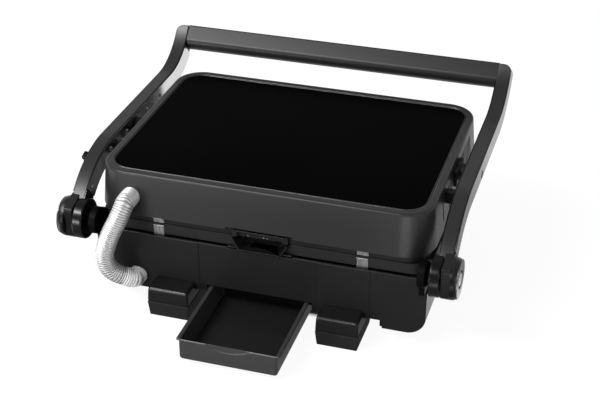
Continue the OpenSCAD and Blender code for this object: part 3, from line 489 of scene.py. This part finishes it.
def heads_tree():
    """Puts a head on every seat, along the seat's aim and at a turn of its own."""
    tree, given, out = new_tree("fastener_heads", [
        ("Head", "NodeSocketObject", None), ("Most turn", "NodeSocketFloat", math.pi),
        ("Seed", "NodeSocketInt", 3), ("Material", "NodeSocketMaterial", None)])
    head = add_node(tree, "GeometryNodeObjectInfo", {"Object": given["Head"]})
    aim = add_node(tree, "GeometryNodeInputNamedAttribute", {"Name": "aim"},
                   data_type="FLOAT_VECTOR")
    stand = add_node(tree, "FunctionNodeAlignRotationToVector", {
        "Vector": aim.outputs["Attribute"]}, axis="Z")
    turn = add_node(tree, "FunctionNodeRandomValue", {
        "Min": 0.0, "Max": given["Most turn"], "Seed": given["Seed"]}, data_type="FLOAT")
    twist = add_node(tree, "FunctionNodeAxisAngleToRotation", {
        "Axis": (0, 0, 1), "Angle": turn.outputs["Value"]})
    driven = add_node(tree, "FunctionNodeRotateRotation", {
        "Rotation": stand.outputs[0], "Rotate By": twist.outputs[0]}, rotation_space="LOCAL")
    place = add_node(tree, "GeometryNodeInstanceOnPoints", {
        "Points": given["Geometry"], "Instance": head.outputs["Geometry"],
        "Rotation": driven.outputs[0]})
    return end_tree(tree, place.outputs[0], given["Material"], out)


def seats(node, aim_at):
    """An object with a point where each of a node's separate heads stands on its seat."""
    bm = bmesh.new()
    bm.from_mesh(frame["nodes"][node].data)
    bmesh.ops.remove_doubles(bm, verts=bm.verts, dist=same_point)
    left, found = set(bm.verts), []
    while left:
        patch = [left.pop()]
        for v in patch:
            for e in v.link_edges:
                w = e.other_vert(v)
                if w in left:
                    left.remove(w)
                    patch.append(w)
        low = Vector([min(v.co[k] for v in patch) for k in range(3)])
        high = Vector([max(v.co[k] for v in patch) for k in range(3)])
        aim = Vector(aim_at(low))
        found.append(((low + high) / 2 - aim * abs(aim.dot(high - low)) / 2, aim))
    bm.free()
    found.sort(key=lambda seat: tuple(round(c, 5) for c in seat[0]))
    mesh = bpy.data.meshes.new(node + "_made")
    mesh.from_pydata([place for place, aim in found], [], [])
    store = mesh.attributes.new("aim", "FLOAT_VECTOR", "POINT")
    for point, (place, aim) in zip(store.data, found):
        point.vector = aim
    return placed(node + "_made", mesh)


def fasten(node, head, mat, aim_at):
    """Replaces a node by one head on each of its seats."""
    made = grow(seats(node, aim_at), fastener_heads, {"Head": head, "Material": mat})
    bpy.data.objects.remove(head)
    fit_piece(made, mat, node)


def turned_ring(r, z, count=24, sides=0):
    """Points round a head's own axis, on a circle or on a polygon of some sides."""
    ring = []
    for k in range(count):
        a = 2 * math.pi * k / count
        reach = r
        if sides:
            half = math.pi / sides
            reach = r * math.cos(half) / math.cos(a % (2 * half) - half)
        ring.append(Vector((reach * math.cos(a), reach * math.sin(a), z)) * mm)
    return ring


fastener_heads = heads_tree()
screw_steel = bright_metal("screw_steel", 0.60, 0.78, rough=0.24, scale=1200)
socket_head = round_edges(lofted("socket_head", [
    turned_ring(3.6, 0), turned_ring(3.6, 1.2), turned_ring(3.3, 1.8), turned_ring(2.6, 2.2),
    turned_ring(1.5, 2.2, sides=6), turned_ring(1.5, 1.2, sides=6)]), 0.12, corner=40)
fasten("floor_screws", socket_head, screw_steel, lambda low: (0, 0, -1))


# Lower cooking plate: ribbed die-cast aluminium with a dark non-stick coat, standing
# on the tub's side walls. Its rim shows as a band under the lid.
def coated(name, tone, rough, gloss):
    """Sprayed non-stick coat: a fine orange peel with paler specks in it."""
    mat, tree, bsdf = shader(name)
    peel = texture_at(tree, "ShaderNodeTexNoise", 1400, Detail=2.0).outputs[0]
    specks = texture_at(tree, "ShaderNodeTexVoronoi", 900).outputs["Distance"]
    tint(tree, specks, grey(tone * 1.9), grey(tone), bsdf.inputs["Base Color"], 0.06, 0.12)
    spread(tree, peel, rough * 0.9, rough * 1.15, bsdf.inputs["Roughness"])
    relief(tree, bsdf, peel, 0.3, 0.00003)
    bsdf.inputs["Specular IOR Level"].default_value = gloss
    return mat


plate_coat = coated("plate_coat", tone=0.016, rough=0.45, gloss=0.2)
ease_in("lower_plate", 0.25, plate_coat)

# Lower heater and shield: a tubular element bent to a U against the plate's back,
# closed off from the tub by a shallow pan of bright sheet.
heater_sheath = bright_metal("heater_sheath", 0.16, 0.24, rough=0.42, scale=500)
shield_sheet = bright_metal("shield_sheet", 0.52, 0.68, rough=0.34, scale=160, stretch=(1, 12, 1))
ease_in("lower_heating_element", 0.15, heater_sheath)
ease_in("lower_heat_shield", 0.2, shield_sheet)

# Lower plate clips: two strips of galvanised spring steel, stamped and bent to hook over
# the plate's rear edge. The zinc runs in streaks up and down.
clip_zinc = bright_metal("clip_zinc", 0.24, 0.58, rough=0.36, scale=120, stretch=(14, 14, 1),
                         height=0.00004)
ease_in("lower_plate_clips", 0.4, clip_zinc, 3)

# Grease spout: a folded and coated chute that leads from the plate's rear edge over the
# wall, with an ear to each side and a duct down to the tray.
spout_coat = coated("spout_coat", tone=0.006, rough=0.26, gloss=0.5)
ease_in("spout_chute", 0.16, spout_coat)

# Hinge trunnions and pins: glass-filled blocks bolted into the tub's rear corners, with
# steel pins through their bosses.
hinge_y, hinge_z, hub_r = -104.833 * mm, 83.3 * mm, 18.6
sides = ((-1, "left"), (1, "right"))
neck_rings = ((147.4, 12.4), (153.4, 12.6), (154.3, 12.2), (155, 11.2), (155.8, 9.6), (158, 9.3))
lug_outline = ((1, -11), (1, 5), (2, 8), (4, 9.6), (7, 9.8), (11, 8), (15, 5), (18.5, 1.5),
               (21.5, -3), (22.5, -11))


def about_hinge(side, x, points):
    """Points (y, z) from the hinge axis, at x from the middle, all in millimetres."""
    return [Vector((side * x * mm, hinge_y + y * mm, hinge_z + z * mm)) for y, z in points]


def wheel(side, x, r, start=0, end=360, step=5):
    """Points round the hinge axis."""
    count = round((end - start) / step)
    open_end = end - start < 360
    angles = [math.radians(start + (end - start) * k / count) for k in range(count + open_end)]
    return about_hinge(side, x, [(r * math.cos(a), r * math.sin(a)) for a in angles])


def block(side, x, low, high):
    """A rectangle beside the hinge axis, given by two corners (y, z)."""
    return about_hinge(side, x, [low, (high[0], low[1]), high, (low[0], high[1])])


block_plastic = moulded("block_plastic", tone=0.0022, rough=0.5, gloss=0.05)
for side, name in sides:
    node = "trunnion_" + name
    shells = {
        "_web": [block(side, x, (1.5, -24.6), (22.9, -10.95)) for x in (147.03, 152.4)],
        "_neck": [wheel(side, x, r) for x, r in neck_rings],
        "_lug": [about_hinge(side, x, lug_outline) for x in (147.1, 149.6)],
        "_root": [block(side, x, (9.7, -39.3), (22.9, -10.95)) for x in (138.03, 147.6)]}
    made = [round_edges(lofted(node + part, rings), 0.7, 3) for part, rings in shells.items()]
    fit_piece(joined(node + "_made", *made), block_plastic, node)
pin_steel = bright_metal("pin_steel", 0.010, 0.018, rough=0.4, scale=900)
pins = [round_edges(lofted("hinge_pin_" + name, [wheel(side, x, 5.9) for x in (158.3, 175)]), 0.6)
        for side, name in sides]
fit_piece(joined("hinge_pins_made", *pins), pin_steel, "hinge_pins")

# Controls: a glossy black moulded fascia on the front wall, with the thermostat in its
# bright case behind it, and two ribbed red lenses pushed in beside the knob.
fascia_plastic = moulded("fascia_plastic", tone=0.006, rough=0.28, gloss=0.45)
ease_in("control_panel", 0.4, fascia_plastic)
ease_in("thermostat", 0.3, shield_sheet)
lens_red, tree, bsdf = shader("lens_red")
ripple = texture_at(tree, "ShaderNodeTexWave", 900).outputs["Fac"]
tint(tree, ripple, (0.24, 0.006, 0.005), (0.34, 0.012, 0.010), bsdf.inputs["Base Color"])
relief(tree, bsdf, ripple, 0.2, 0.00005)
bsdf.inputs["Roughness"].default_value = 0.12
bsdf.inputs["Coat Weight"].default_value = 0.5
ease_in("indicator_lenses", 0.35, lens_red, 3)

# Terminal block and cord gland: a glazed ceramic block on the floor inside, and the
# rubber bush in the floor for the mains lead.
glazed, tree, bsdf = shader("glazed_ceramic")
mottle = texture_at(tree, "ShaderNodeTexNoise", 120, Detail=2.0).outputs[0]
tint(tree, mottle, (0.62, 0.58, 0.48), (0.72, 0.69, 0.60), bsdf.inputs["Base Color"])
spread(tree, mottle, 0.2, 0.32, bsdf.inputs["Roughness"])
ease_in("terminal_block", 0.4, glazed)
ease_in("cord_gland", 0.3, pad_rubber)

# Handle arms: lacquered cores that sweep from the hubs over the lid's sides and up to
# the bar, each with a hub moulded on at its rear end. The hub's faces that look to the
# rear get a darker, duller copy of the lacquer: painted shade.
lacquer_flake = 1.12
arm_layers = (163.334, 168.134, 170, 171.6, 172.9, 173.9, 174.5, 174.934)
arm_round, round_from, arm_half = 8, 168.134, 9.5
arm_bend, arm_bend_r, bend_end = (-30.699, 31.643), 90.357, 143
arm_rise, arm_rise_r, arm_sweep = (109.301, 198.5), 76.5, 57.5
hub_in, shoulder_out = 168.134, 176.3
drum_rings = ((176, 0), (177.2, 0), (179, 0.15), (180.4, 0.6), (181.734, 1.3))
shoulder_outline = ((9, 20.2), (5.5, 20.6), (-13.9, 15.4), (-14.9, 11), (-14.9, -11.1))


def place_of(tree, kind):
    """The three coordinates of the point that is shaded."""
    coord = add_node(tree, "ShaderNodeTexCoord")
    return add_node(tree, "ShaderNodeSeparateXYZ", {0: coord.outputs[kind]}).outputs


def lacquered(name, tone, rough, gloss=0.5, painted_top_light=None):
    """Dark satin lacquer with a fine metallic grain. Its last argument (low, high, share)
    is painted light: the colour gets paler by that share between two heights,
    so the upper part looks lit from above."""
    mat, tree, bsdf = shader(name)
    grain = texture_at(tree, "ShaderNodeTexNoise", 3200, Detail=1.0).outputs[0]
    broad = texture_at(tree, "ShaderNodeTexNoise", 14, Detail=2.0).outputs[0]
    tint(tree, grain, grey(tone / lacquer_flake), grey(tone * lacquer_flake),
         bsdf.inputs["Base Color"])
    if painted_top_light:
        low, high, share = painted_top_light
        shade_by(mat, between(tree, place_of(tree, "Object")["Z"], low, high, 1.0, share))
    spread(tree, broad, rough * 0.95, rough * 1.06, bsdf.inputs["Roughness"])
    relief(tree, bsdf, grain, 0.12, 0.00002)
    bsdf.inputs["Specular IOR Level"].default_value = gloss
    return mat


def side_arc(side, x, middle, r, start, end, steps=18):
    """Points along an arc in the grill's side view, in millimetres and degrees."""
    angles = [math.radians(start + (end - start) * k / steps) for k in range(steps + 1)]
    return [Vector((side * x * mm, (middle[0] + r * math.cos(a)) * mm,
                    (middle[1] + r * math.sin(a)) * mm)) for a in angles]


def arm_loop(side, x):
    """The arm's side outline at x from the middle; its outer front corner is rounded off."""
    back = arm_round - math.sqrt(max(arm_round ** 2 - max(x - round_from, 0) ** 2, 0))
    top, low = arm_rise_r - arm_half, arm_rise_r + arm_half
    tips = [270 + arm_sweep - math.degrees(math.asin(back / r)) for r in (top, low)]
    return (side_arc(side, x, arm_rise, top, tips[0], 270)
            + side_arc(side, x, arm_bend, arm_bend_r + arm_half, 90, bend_end)
            + side_arc(side, x, arm_bend, arm_bend_r - arm_half, bend_end, 90)
            + side_arc(side, x, arm_rise, low, 270, tips[1]))


def arm_root(side, x):
    """The arm's end on the hub: a square shoulder with a flat top and rear face, round below."""
    return about_hinge(side, x, shoulder_outline) + wheel(side, x, hub_r, 222, 420, 6)


# The arms' lacquer gets up to 2.2 times paler from 100 to 120 mm up: painted light on their upper parts.
arm_lacquer = lacquered("arm_lacquer", tone=0.008, rough=0.34, gloss=0.40, painted_top_light=(0.1, 0.12, 2.2))
# A darker, duller copy of the arm lacquer: painted shade on the hubs' rear faces.
bare_lacquer = lacquered("bare_lacquer", tone=0.003, rough=0.36, gloss=0.2)
for side, name in sides:
    node = name + "_arm"
    core = lofted(node + "_core", [arm_loop(side, x) for x in arm_layers])
    drum = lofted(node + "_drum", [wheel(side, x, hub_r - less) for x, less in drum_rings])
    shoulder = lofted(node + "_shoulder", [arm_root(side, x) for x in (hub_in, shoulder_out)])
    arm = joined(node + "_made", round_edges(core, 0.6, 3, 35), round_edges(drum, 0.3, 2, 60),
                 round_edges(shoulder, 0.7, 3))
    paint_where(fit_piece(arm, arm_lacquer, node), bare_lacquer,
                lambda c, n: n.y < -0.85 and abs(c.x) > (hub_in - 0.1) * mm and c.y < hinge_y)

# Arm plates: strips of brushed metal, stamped to the arm's outline and screwed to both
# sides of each arm, the inner ones bright and the outer ones dark. Their edge faces get a
# much darker metal: painted shade along the plates' edges.
brushed = (1, 0.06, 1)
plate_metals = {
    "inner": (bright_metal("inner_plate_metal", 0.66, 0.76, rough=0.2, scale=500, stretch=brushed),
              bright_metal("inner_plate_edge", 0.012, 0.02, rough=0.45, scale=900)),
    "outer": (bright_metal("outer_plate_metal", 0.17, 0.22, rough=0.25, scale=500, stretch=brushed),
              bright_metal("outer_plate_edge", 0.05, 0.08, rough=0.4, scale=900))}
for side in ("left", "right"):
    for place, (metal, shaded_edge) in plate_metals.items():
        plate = ease_in(f"{side}_arm_{place}_plate", 0.2, metal)
        # Painted shade: the plate's edge faces take the darker metal.
        paint_where(plate, shaded_edge, lambda c, n: abs(n.x) < 0.8)

# Arm screws: small slotted steel pan heads along the middle of each inner plate, which
# hold the plates to the arms. Each stands at a turn of its own.
slot_half = 0.4


def half_disc(r, z, flip):
    """One side of a slotted head's top."""
    slot = math.asin(slot_half / r)
    angles = [slot + (math.pi - 2 * slot) * k / 12 for k in range(13)]
    return [Vector((r * math.cos(a), flip * r * math.sin(a), z)) * mm for a in angles]


slot_floor = round_edges(lofted("slot_floor", [
    turned_ring(2.3, 0), turned_ring(2.3, 0.3), turned_ring(2.15, 0.42)]), 0.04)
slot_sides = [lofted("slot_side", [
    half_disc(r, z, flip) for r, z in ((2.1, 0.3), (2.05, 0.6), (1.8, 0.8), (1.4, 0.9))])
    for flip in (-1, 1)]
slotted_head = joined("slotted_head", slot_floor, *slot_sides)
fasten("arm_screws", slotted_head, screw_steel, lambda low: (-math.copysign(1, low.x), 0, 0))

# Handle bar: an extruded and lacquered tube, held between the arms' front ends. Its
# broad flat face looks to the rear.
bar_lacquer = lacquered("bar_lacquer", tone=0.0155, rough=0.36, gloss=0.30)
bar_low, bar_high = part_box("handle_bar")
bar_tilt, bar_half_h, bar_half_t = math.radians(48.9), 11.5, 8.25
bar_corners = ((1, 1, 1.6), (-1, 1, 8), (-1, -1, 6), (1, -1, 6))


def bar_section(x):
    """The bar's outline, its rear face with a tight upper and a full lower edge."""
    middle = (bar_low + bar_high) / 2
    ring = []
    for quarter, (up, rear, r) in enumerate(bar_corners):
        for k in range(9):
            a = math.radians(90 * quarter + 90 * k / 8)
            u = up * (bar_half_h - r) + r * math.cos(a)
            w = rear * (bar_half_t - r) + r * math.sin(a)
            y = u * math.cos(bar_tilt) - w * math.sin(bar_tilt)
            z = u * math.sin(bar_tilt) + w * math.cos(bar_tilt)
            ring.append(Vector((x, middle.y + y * mm, middle.z + z * mm)))
    return ring


bar = lofted("handle_bar_made", [bar_section(x) for x in (bar_low.x, bar_high.x)])
fit_piece(round_edges(bar, 0.2), bar_lacquer, "handle_bar")

# Hubs: black satin mouldings that turn on the pins inside the arms, each with a tongue
# into its arm. Outside, a turned metal cap and a socket bolt close the hinge.
hub_plastic = moulded("hub_plastic", tone=0.003, rough=0.24, grain=1800, height=0.00001, gloss=0.3)
tongue_start, tongue_less = 130.8, 1
cap_from, cap_share, recess_shade_reach = 12 * mm, 17.25 / 18, 7.2 * mm


def tongue(side, x):
    """The disc's tongue, which fills the arm's section up to the end of the inner plate."""
    low = arm_bend_r - arm_half + tongue_less
    return (side_arc(side, x, arm_bend, arm_bend_r + arm_half, tongue_start, bend_end, 6)
            + side_arc(side, x, arm_bend, low, bend_end, tongue_start, 6))


def off_hinge(point):
    """How far a point lies from the hinge axis."""
    return math.hypot(point.y - hinge_y, point.z - hinge_z)


for side, name in sides:
    node = "hub_disc_" + name
    disc = lofted(node + "_turned", [wheel(side, x, hub_r) for x in (158.134, 167.6)])
    fin = lofted(node + "_fin", [tongue(side, x) for x in (162.3, 163.6)])
    fit_piece(joined(node + "_made", round_edges(disc, 1.4, 4), round_edges(fin, 0.3)),
              hub_plastic, node)
cap_metal = bright_metal("cap_metal", 0.13, 0.17, rough=0.34, scale=700)
caps = ease_in("hub_caps", 0.4, cap_metal, 3)
for v in caps.data.vertices:
    if off_hinge(v.co) > cap_from:
        v.co.y = hinge_y + (v.co.y - hinge_y) * cap_share
        v.co.z = hinge_z + (v.co.z - hinge_z) * cap_share
# The cap's faces within 7.2 mm of the axis take the hub's black plastic: painted shade in the bolt's recess.
paint_where(caps, hub_plastic, lambda c, n: off_hinge(c) < recess_shade_reach)
ease_in("hub_bolts", 0.3, screw_steel)

# Lock slider: a black satin moulding that runs in a slot of the left arm and catches
# the lid when it is pushed in.
ease_in("lock_slider", 0.4, hub_plastic)

# Lid housing: drawn and lacquered dark grey, with a sloped skirt, turned corners, vents
# in the sides and a recess for the panel.
# The lid's lacquer gets 1.25 times paler between 112 and 128 mm up: painted light on the skirt's upper part.
lid_lacquer = lacquered("lid_lacquer", tone=0.016, rough=0.36, gloss=0.34,
                        painted_top_light=(0.112, 0.128, 1.25))
ease_in("upper_housing", 0.4, lid_lacquer)


# Top panel: a sheet of black enamel let into the lid, with a narrow bright bead round
# it and a second one on the edge of the lid's recess.
def loop(low, high, radius, z, counts, turn, stops=None):
    """One loop of points round a rounded rectangle at a height, from its rear right corner,
    with so many steps on its long and short sides and in the turn of a corner. stops are
    fixed x values for the points of its rear side."""
    corners = [(high[0] - radius, low[1] + radius, -90), (high[0] - radius, high[1] - radius, 0),
               (low[0] + radius, high[1] - radius, 90), (low[0] + radius, low[1] + radius, 180)]

    def on_corner(i, degrees):
        cx, cy, start = corners[i % 4]
        a = math.radians(start + degrees)
        return Vector((cx + radius * math.cos(a), cy + radius * math.sin(a), z))

    ring = []
    for i in range(4):
        ring += [on_corner(i, 90 * k / turn) for k in range(turn + 1)]
        if i == 3 and stops:
            ring += [Vector((x, low[1], z)) for x in stops]
        else:
            last, goal, steps = ring[-1], on_corner(i + 1, 0), counts[(i + 1) % 2]
            ring += [last.lerp(goal, k / steps) for k in range(1, steps)]
    return ring


def bead(name, low, high, corner, out, radius, z):
    """A round bead that follows a rounded rectangle at a distance outside it."""
    rings = []
    for k in range(8):
        a = math.radians(k * 45 + 22.5)
        wider = out + radius * math.cos(a)
        rings.append(loop((low.x - wider, low.y - wider), (high.x + wider, high.y + wider),
                          corner + wider, z + radius * math.sin(a), (8, 6), 12))
    return lofted(name, rings, True)


enamel, tree, bsdf = shader("panel_enamel")
wave = texture_at(tree, "ShaderNodeTexNoise", 9, Detail=2.0).outputs[0]
tint(tree, wave, grey(0.0006), grey(0.0009), bsdf.inputs["Base Color"])
spread(tree, wave, 0.16, 0.2, bsdf.inputs["Roughness"])
bsdf.inputs["Specular IOR Level"].default_value = 0.008
ease_in("top_panel", 0.25, enamel)
panel_low, panel_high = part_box("top_panel")
panel_corner = 20 * mm
bead_metal = bright_metal("bead_metal", 0.12, 0.15, rough=0.34, scale=400, height=0.00001)
for name, out, radius, sink in (("panel_bead", -0.75, 0.42, 0.2), ("recess_bead", 0.62, 0.4, -0.3)):
    rim = bead(name, panel_low, panel_high, panel_corner, out * mm, radius * mm,
               panel_high.z - sink * mm)
    rim.data.materials.append(bead_metal)
    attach(rim, "lid")

# Upper cooking plate, heater, shield and clips: the same coated casting, tubular element,
# pan of bright sheet and spring clips as below, hung in the lid.
ease_in("upper_plate", 0.25, plate_coat)
ease_in("upper_heating_element", 0.15, heater_sheath)
ease_in("upper_heat_shield", 0.2, shield_sheet)
ease_in("upper_plate_clips", 0.4, clip_zinc, 3)

# Spout bar and rivets: the coated bar over the chute with its corner blocks, and three
# small steel rivets in the plate's edge.
ease_in("spout_bar", 0.35, spout_coat, 3)
rivet_steel = bright_metal("rivet_steel", 0.16, 0.26, rough=0.36, scale=1200)
rivet_r = 1.1
rivet_head = lofted("rivet_head", [
    turned_ring(rivet_r * math.cos(a), rivet_r * math.sin(a), 16)
    for a in (0, 0.3, 0.6, 0.9, 1.2, 1.45)])
fasten("spout_rivets", rivet_head, rivet_steel, lambda low: (0, -1, 0))

# Lid pivots, stops and screws: black moulded brackets on the lid's sides that carry it
# between the arms, and the steel screws that hold the upper plate.
pivot_plastic = moulded("pivot_plastic", tone=0.008, rough=0.5, gloss=0.2)
for node in ("lid_pivot_left", "lid_pivot_right", "lid_stops"):
    ease_in(node, 0.3, pivot_plastic)
ease_in("lid_screws", 0.2, screw_steel)

# Drip tray: an open pan pressed from sheet and lacquered dark grey, with a lip along each
# side that slides on the runners and a finger scoop in its rear edge.
tray_low, tray_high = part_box("drip_tray")
tray_floor, tray_top = tray_low.z / mm, tray_high.z / mm
tray_half, tray_lip, tray_wall = 44.6, 2.7, 1.5
tray_inner, tray_outer = tray_half - tray_wall, tray_half + tray_lip
scoop_deep, scoop_half, scoop_ease = 5.5, 21, 5
rear_stops = [x * mm for x in (-36, -28, *range(-22, 23), 28, 36)]


def dip(point):
    """Lowers a point near the rear wall's top edge into the finger scoop."""
    t = abs(point.x) / (scoop_half * mm)
    if point.y < tray_low.y + 1 * mm and point.z > tray_high.z - 2 * mm and t < 1:
        point.z -= scoop_deep * mm * (1 - t * t) * min(1.0, (1 - t) * scoop_ease)
    return point


def pan_loop(half, inset, z, radius):
    """One loop of the pan by half its width, its ends' inset, height and corner radius."""
    ring = loop((-half * mm, tray_low.y + inset * mm), (half * mm, tray_high.y - inset * mm),
                radius * mm, z * mm, (20, 12), 6, rear_stops)
    return [dip(p) for p in ring]


pan = round_edges(lofted("drip_tray_pan", [pan_loop(*row) for row in (
    (tray_half - 1, 1, tray_floor, 2.0),
    (tray_half, 0, tray_floor + 2, 2.4),
    (tray_half, 0, tray_top - 1.2, 2.4),
    (tray_outer - 0.3, 0, tray_top - 1.2, 2.4),
    (tray_outer, 0, tray_top - 0.9, 2.4),
    (tray_outer - 0.8, 0.8, tray_top, 2.0),
    (tray_inner + 0.4, tray_wall - 0.4, tray_top, 1.8),
    (tray_inner, tray_wall, tray_top - 0.5, 1.6),
    (tray_inner - 3, tray_wall + 0.8, tray_floor + tray_wall, 1.6))]), 0.25)
# Inner faces are mixed toward a darker grey. The inner wall that looks to +x gets only a fifth of that:
# painted light where light falls on it.
inside = pan.data.attributes.new("inside", "FLOAT", "FACE")
for face in pan.data.polygons:
    c, within = face.center, (tray_wall - 0.1) * mm
    in_pan = (abs(c.x) < tray_inner * mm and tray_low.y + within < c.y < tray_high.y - within
              and (tray_floor + 0.5) * mm < c.z < (tray_top - 0.4) * mm)
    inside.data[face.index].value = float(in_pan) * (0.2 if face.normal.x > 0.6 else 1.0)
tray_lacquer = lacquered("tray_lacquer", tone=0.033, rough=0.32)
tree = tray_lacquer.node_tree
bsdf = tree.nodes["Principled BSDF"]
inner_share = add_node(tree, "ShaderNodeAttribute", attribute_name="inside").outputs["Fac"]
coat = add_node(tree, "ShaderNodeMix", {
    "Factor": inner_share, "A": bsdf.inputs["Base Color"].links[0].from_socket,
    "B": (*grey(0.011), 1)}, data_type="RGBA")
tree.links.new(coat.outputs["Result"], bsdf.inputs["Base Color"])
tree.links.new(between(tree, inner_share, 0.0, 1.0, 0.5, 0.2), bsdf.inputs["Specular IOR Level"])
fit_piece(pan, tray_lacquer, "drip_tray")
# The pan's outer sides get a paler copy of its lacquer: painted light.
paint_where(pan, lacquered("tray_side_lacquer", tone=0.05, rough=0.32),
            lambda c, n: abs(n.x) > 0.8 and abs(c.x) > (tray_inner + 0.5) * mm)

# Thermostat knob and plate release buttons: glossy black mouldings on the front. The
# knob is pushed on its shaft and has a pointer groove filled with white paint.
knob_low, knob_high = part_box("thermostat_knob")
pointer_from = (knob_low.z + knob_high.z) / 2 + 1.5 * mm
knob = ease_in("thermostat_knob", 0.3, fascia_plastic)
paint_where(knob, moulded("pointer_paint", tone=0.62, rough=0.45, grain=900),
            lambda c, n: abs(c.x) < 0.75 * mm and c.z > pointer_from
            and knob_high.y - 1 * mm < c.y < knob_high.y - 0.1 * mm)
ease_in("lower_release_button", 0.4, fascia_plastic)
ease_in("upper_release_button", 0.4, fascia_plastic)

# Floor: a plain white table that keeps a soft shadow and shows as white to the camera.
# Glowing spots on it show in reflections only, painted reflections of a lit floor:
# x, y, half their bright and half their whole width, and brightness.
table_half, table_white, table_shadow = 6, 1.08, 0.86
painted_glow_spots = ((-0.5, -0.85, 0.1, 0.35, 7.0), (0.18, -0.03, 0.02, 0.06, 1.5),
         (0.25, -0.43, 0.06, 0.17, 6.0), (-0.34, -0.14, 0.04, 0.1, 4.0))
table = bpy.data.meshes.new("ground")
table.from_pydata([(x * table_half, y * table_half, 0)
                   for x, y in ((-1, -1), (1, -1), (1, 1), (-1, 1))], [], [(0, 1, 2, 3)])
ground = placed("ground", table)
white, tree, bsdf = shader("white_floor")
bsdf.inputs["Base Color"].default_value = (0.82, 0.82, 0.82, 1)
bsdf.inputs["Roughness"].default_value = 0.9
bsdf.inputs["Specular IOR Level"].default_value = 0.0
spot = place_of(tree, "Object")


def rays(tree):
    """The rays that see a surface in a mirror, and those that see it directly."""
    seen = add_node(tree, "ShaderNodeLightPath").outputs
    return seen["Is Glossy Ray"], sum_node(
        tree, "MAXIMUM", seen["Is Camera Ray"], seen["Is Transmission Ray"])


def off_square(x, y, half_x=0.0, half_y=0.0):
    """How far a point of the floor lies outside a rectangle."""
    off_x, off_y = (
        sum_node(tree, "SUBTRACT", sum_node(
            tree, "ABSOLUTE", sum_node(tree, "SUBTRACT", spot[axis], middle)), half)
        for axis, middle, half in (("X", x, half_x), ("Y", y, half_y)))
    return sum_node(tree, "MAXIMUM", off_x, off_y)


mirrored, open_view = rays(tree)
# In reflections the floor is darker towards the rear, and painted darker close round the object: a painted
# shadow.
beyond = between(tree, spot["Y"], -0.45, 0.05, 0.2, 0.95)
painted_shadow_near = between(tree, off_square(0, 0, 0.16, 0.12), 0.02, 0.16, 0.35, 1.0)
level = sum_node(tree, "MULTIPLY", beyond, painted_shadow_near)
for x, y, bright_half, whole_half, power in painted_glow_spots:
    glow_spot = between(tree, off_square(x, y), bright_half, whole_half, power, 0.0)
    level = sum_node(tree, "ADD", level, glow_spot)
outside = between(tree, off_square(0, 0.0025, 0.098, 0.0825), -0.006, 0.0, 0.0, 1.0)
glow = add_node(tree, "ShaderNodeEmission", {"Strength": sum_node(
    tree, "ADD", sum_node(tree, "MULTIPLY", open_view, table_white),
    sum_node(tree, "MULTIPLY", mirrored, level))})
lit_share = sum_node(tree, "MULTIPLY", sum_node(tree, "MULTIPLY", open_view, table_shadow), outside)
blend = add_node(tree, "ShaderNodeMixShader", {
    "Fac": sum_node(tree, "MAXIMUM", mirrored, lit_share), 1: bsdf.outputs[0], 2: glow.outputs[0]})
tree.links.new(blend.outputs[0], tree.nodes["Material Output"].inputs["Surface"])
ground.data.materials.append(white)

# Light: a white studio. The backdrop shows white to the camera and low in reflections.
# A key box and a narrow strip hang over the camera's left with a low box below them,
# and a weaker box stands to the right.
fill_level = 0.34
world = bpy.data.worlds.new("studio")
scene.world = world
world.use_nodes = True
tree = world.node_tree
back = tree.nodes["Background"]
back.inputs["Color"].default_value = (1, 1, 1, 1)
mirrored, open_view = rays(tree)
toward = place_of(tree, "Generated")
upward = between(tree, toward["Z"], 0.1, 0.45, 1.0, 0.35)
onward = between(tree, toward["Y"], -0.35, 0.25, 0.3, 1.0)
mirror_level = sum_node(tree, "MULTIPLY", mirrored, sum_node(tree, "MULTIPLY", upward, onward))
diffuse = add_node(tree, "ShaderNodeLightPath").outputs["Is Diffuse Ray"]
fill = sum_node(tree, "MULTIPLY", diffuse, fill_level)
seen_level = sum_node(tree, "MAXIMUM", mirror_level, open_view)
tree.links.new(sum_node(tree, "MAXIMUM", fill, seen_level), back.inputs["Strength"])


def soft_box(name, place, aim, size, power):
    """A rectangular lamp that looks at a point."""
    lamp = bpy.data.lights.new(name, "AREA")
    lamp.shape = "RECTANGLE"
    lamp.size, lamp.size_y = size
    lamp.energy = power
    box = placed(name, lamp)
    box.location = place
    box.rotation_euler = (Vector(aim) - Vector(place)).to_track_quat("-Z", "Y").to_euler()


soft_box("key_box", (-1.1, -0.7, 1.35), (0, 0, 0.1), size=(0.9, 0.6), power=14)
soft_box("edge_strip", (-0.7, -1.08, 1.42), (0, 0, 0.1), size=(1.0, 0.22), power=22)
soft_box("low_box", (-0.87, -1.58, 0.15), (-0.1, -0.1, 0.1), size=(0.4, 0.28), power=6.5)
soft_box("right_box", (1.4, -0.9, 0.5), (0, 0, 0.1), size=(0.6, 0.5), power=3)
scene.view_settings.view_transform = "Standard"
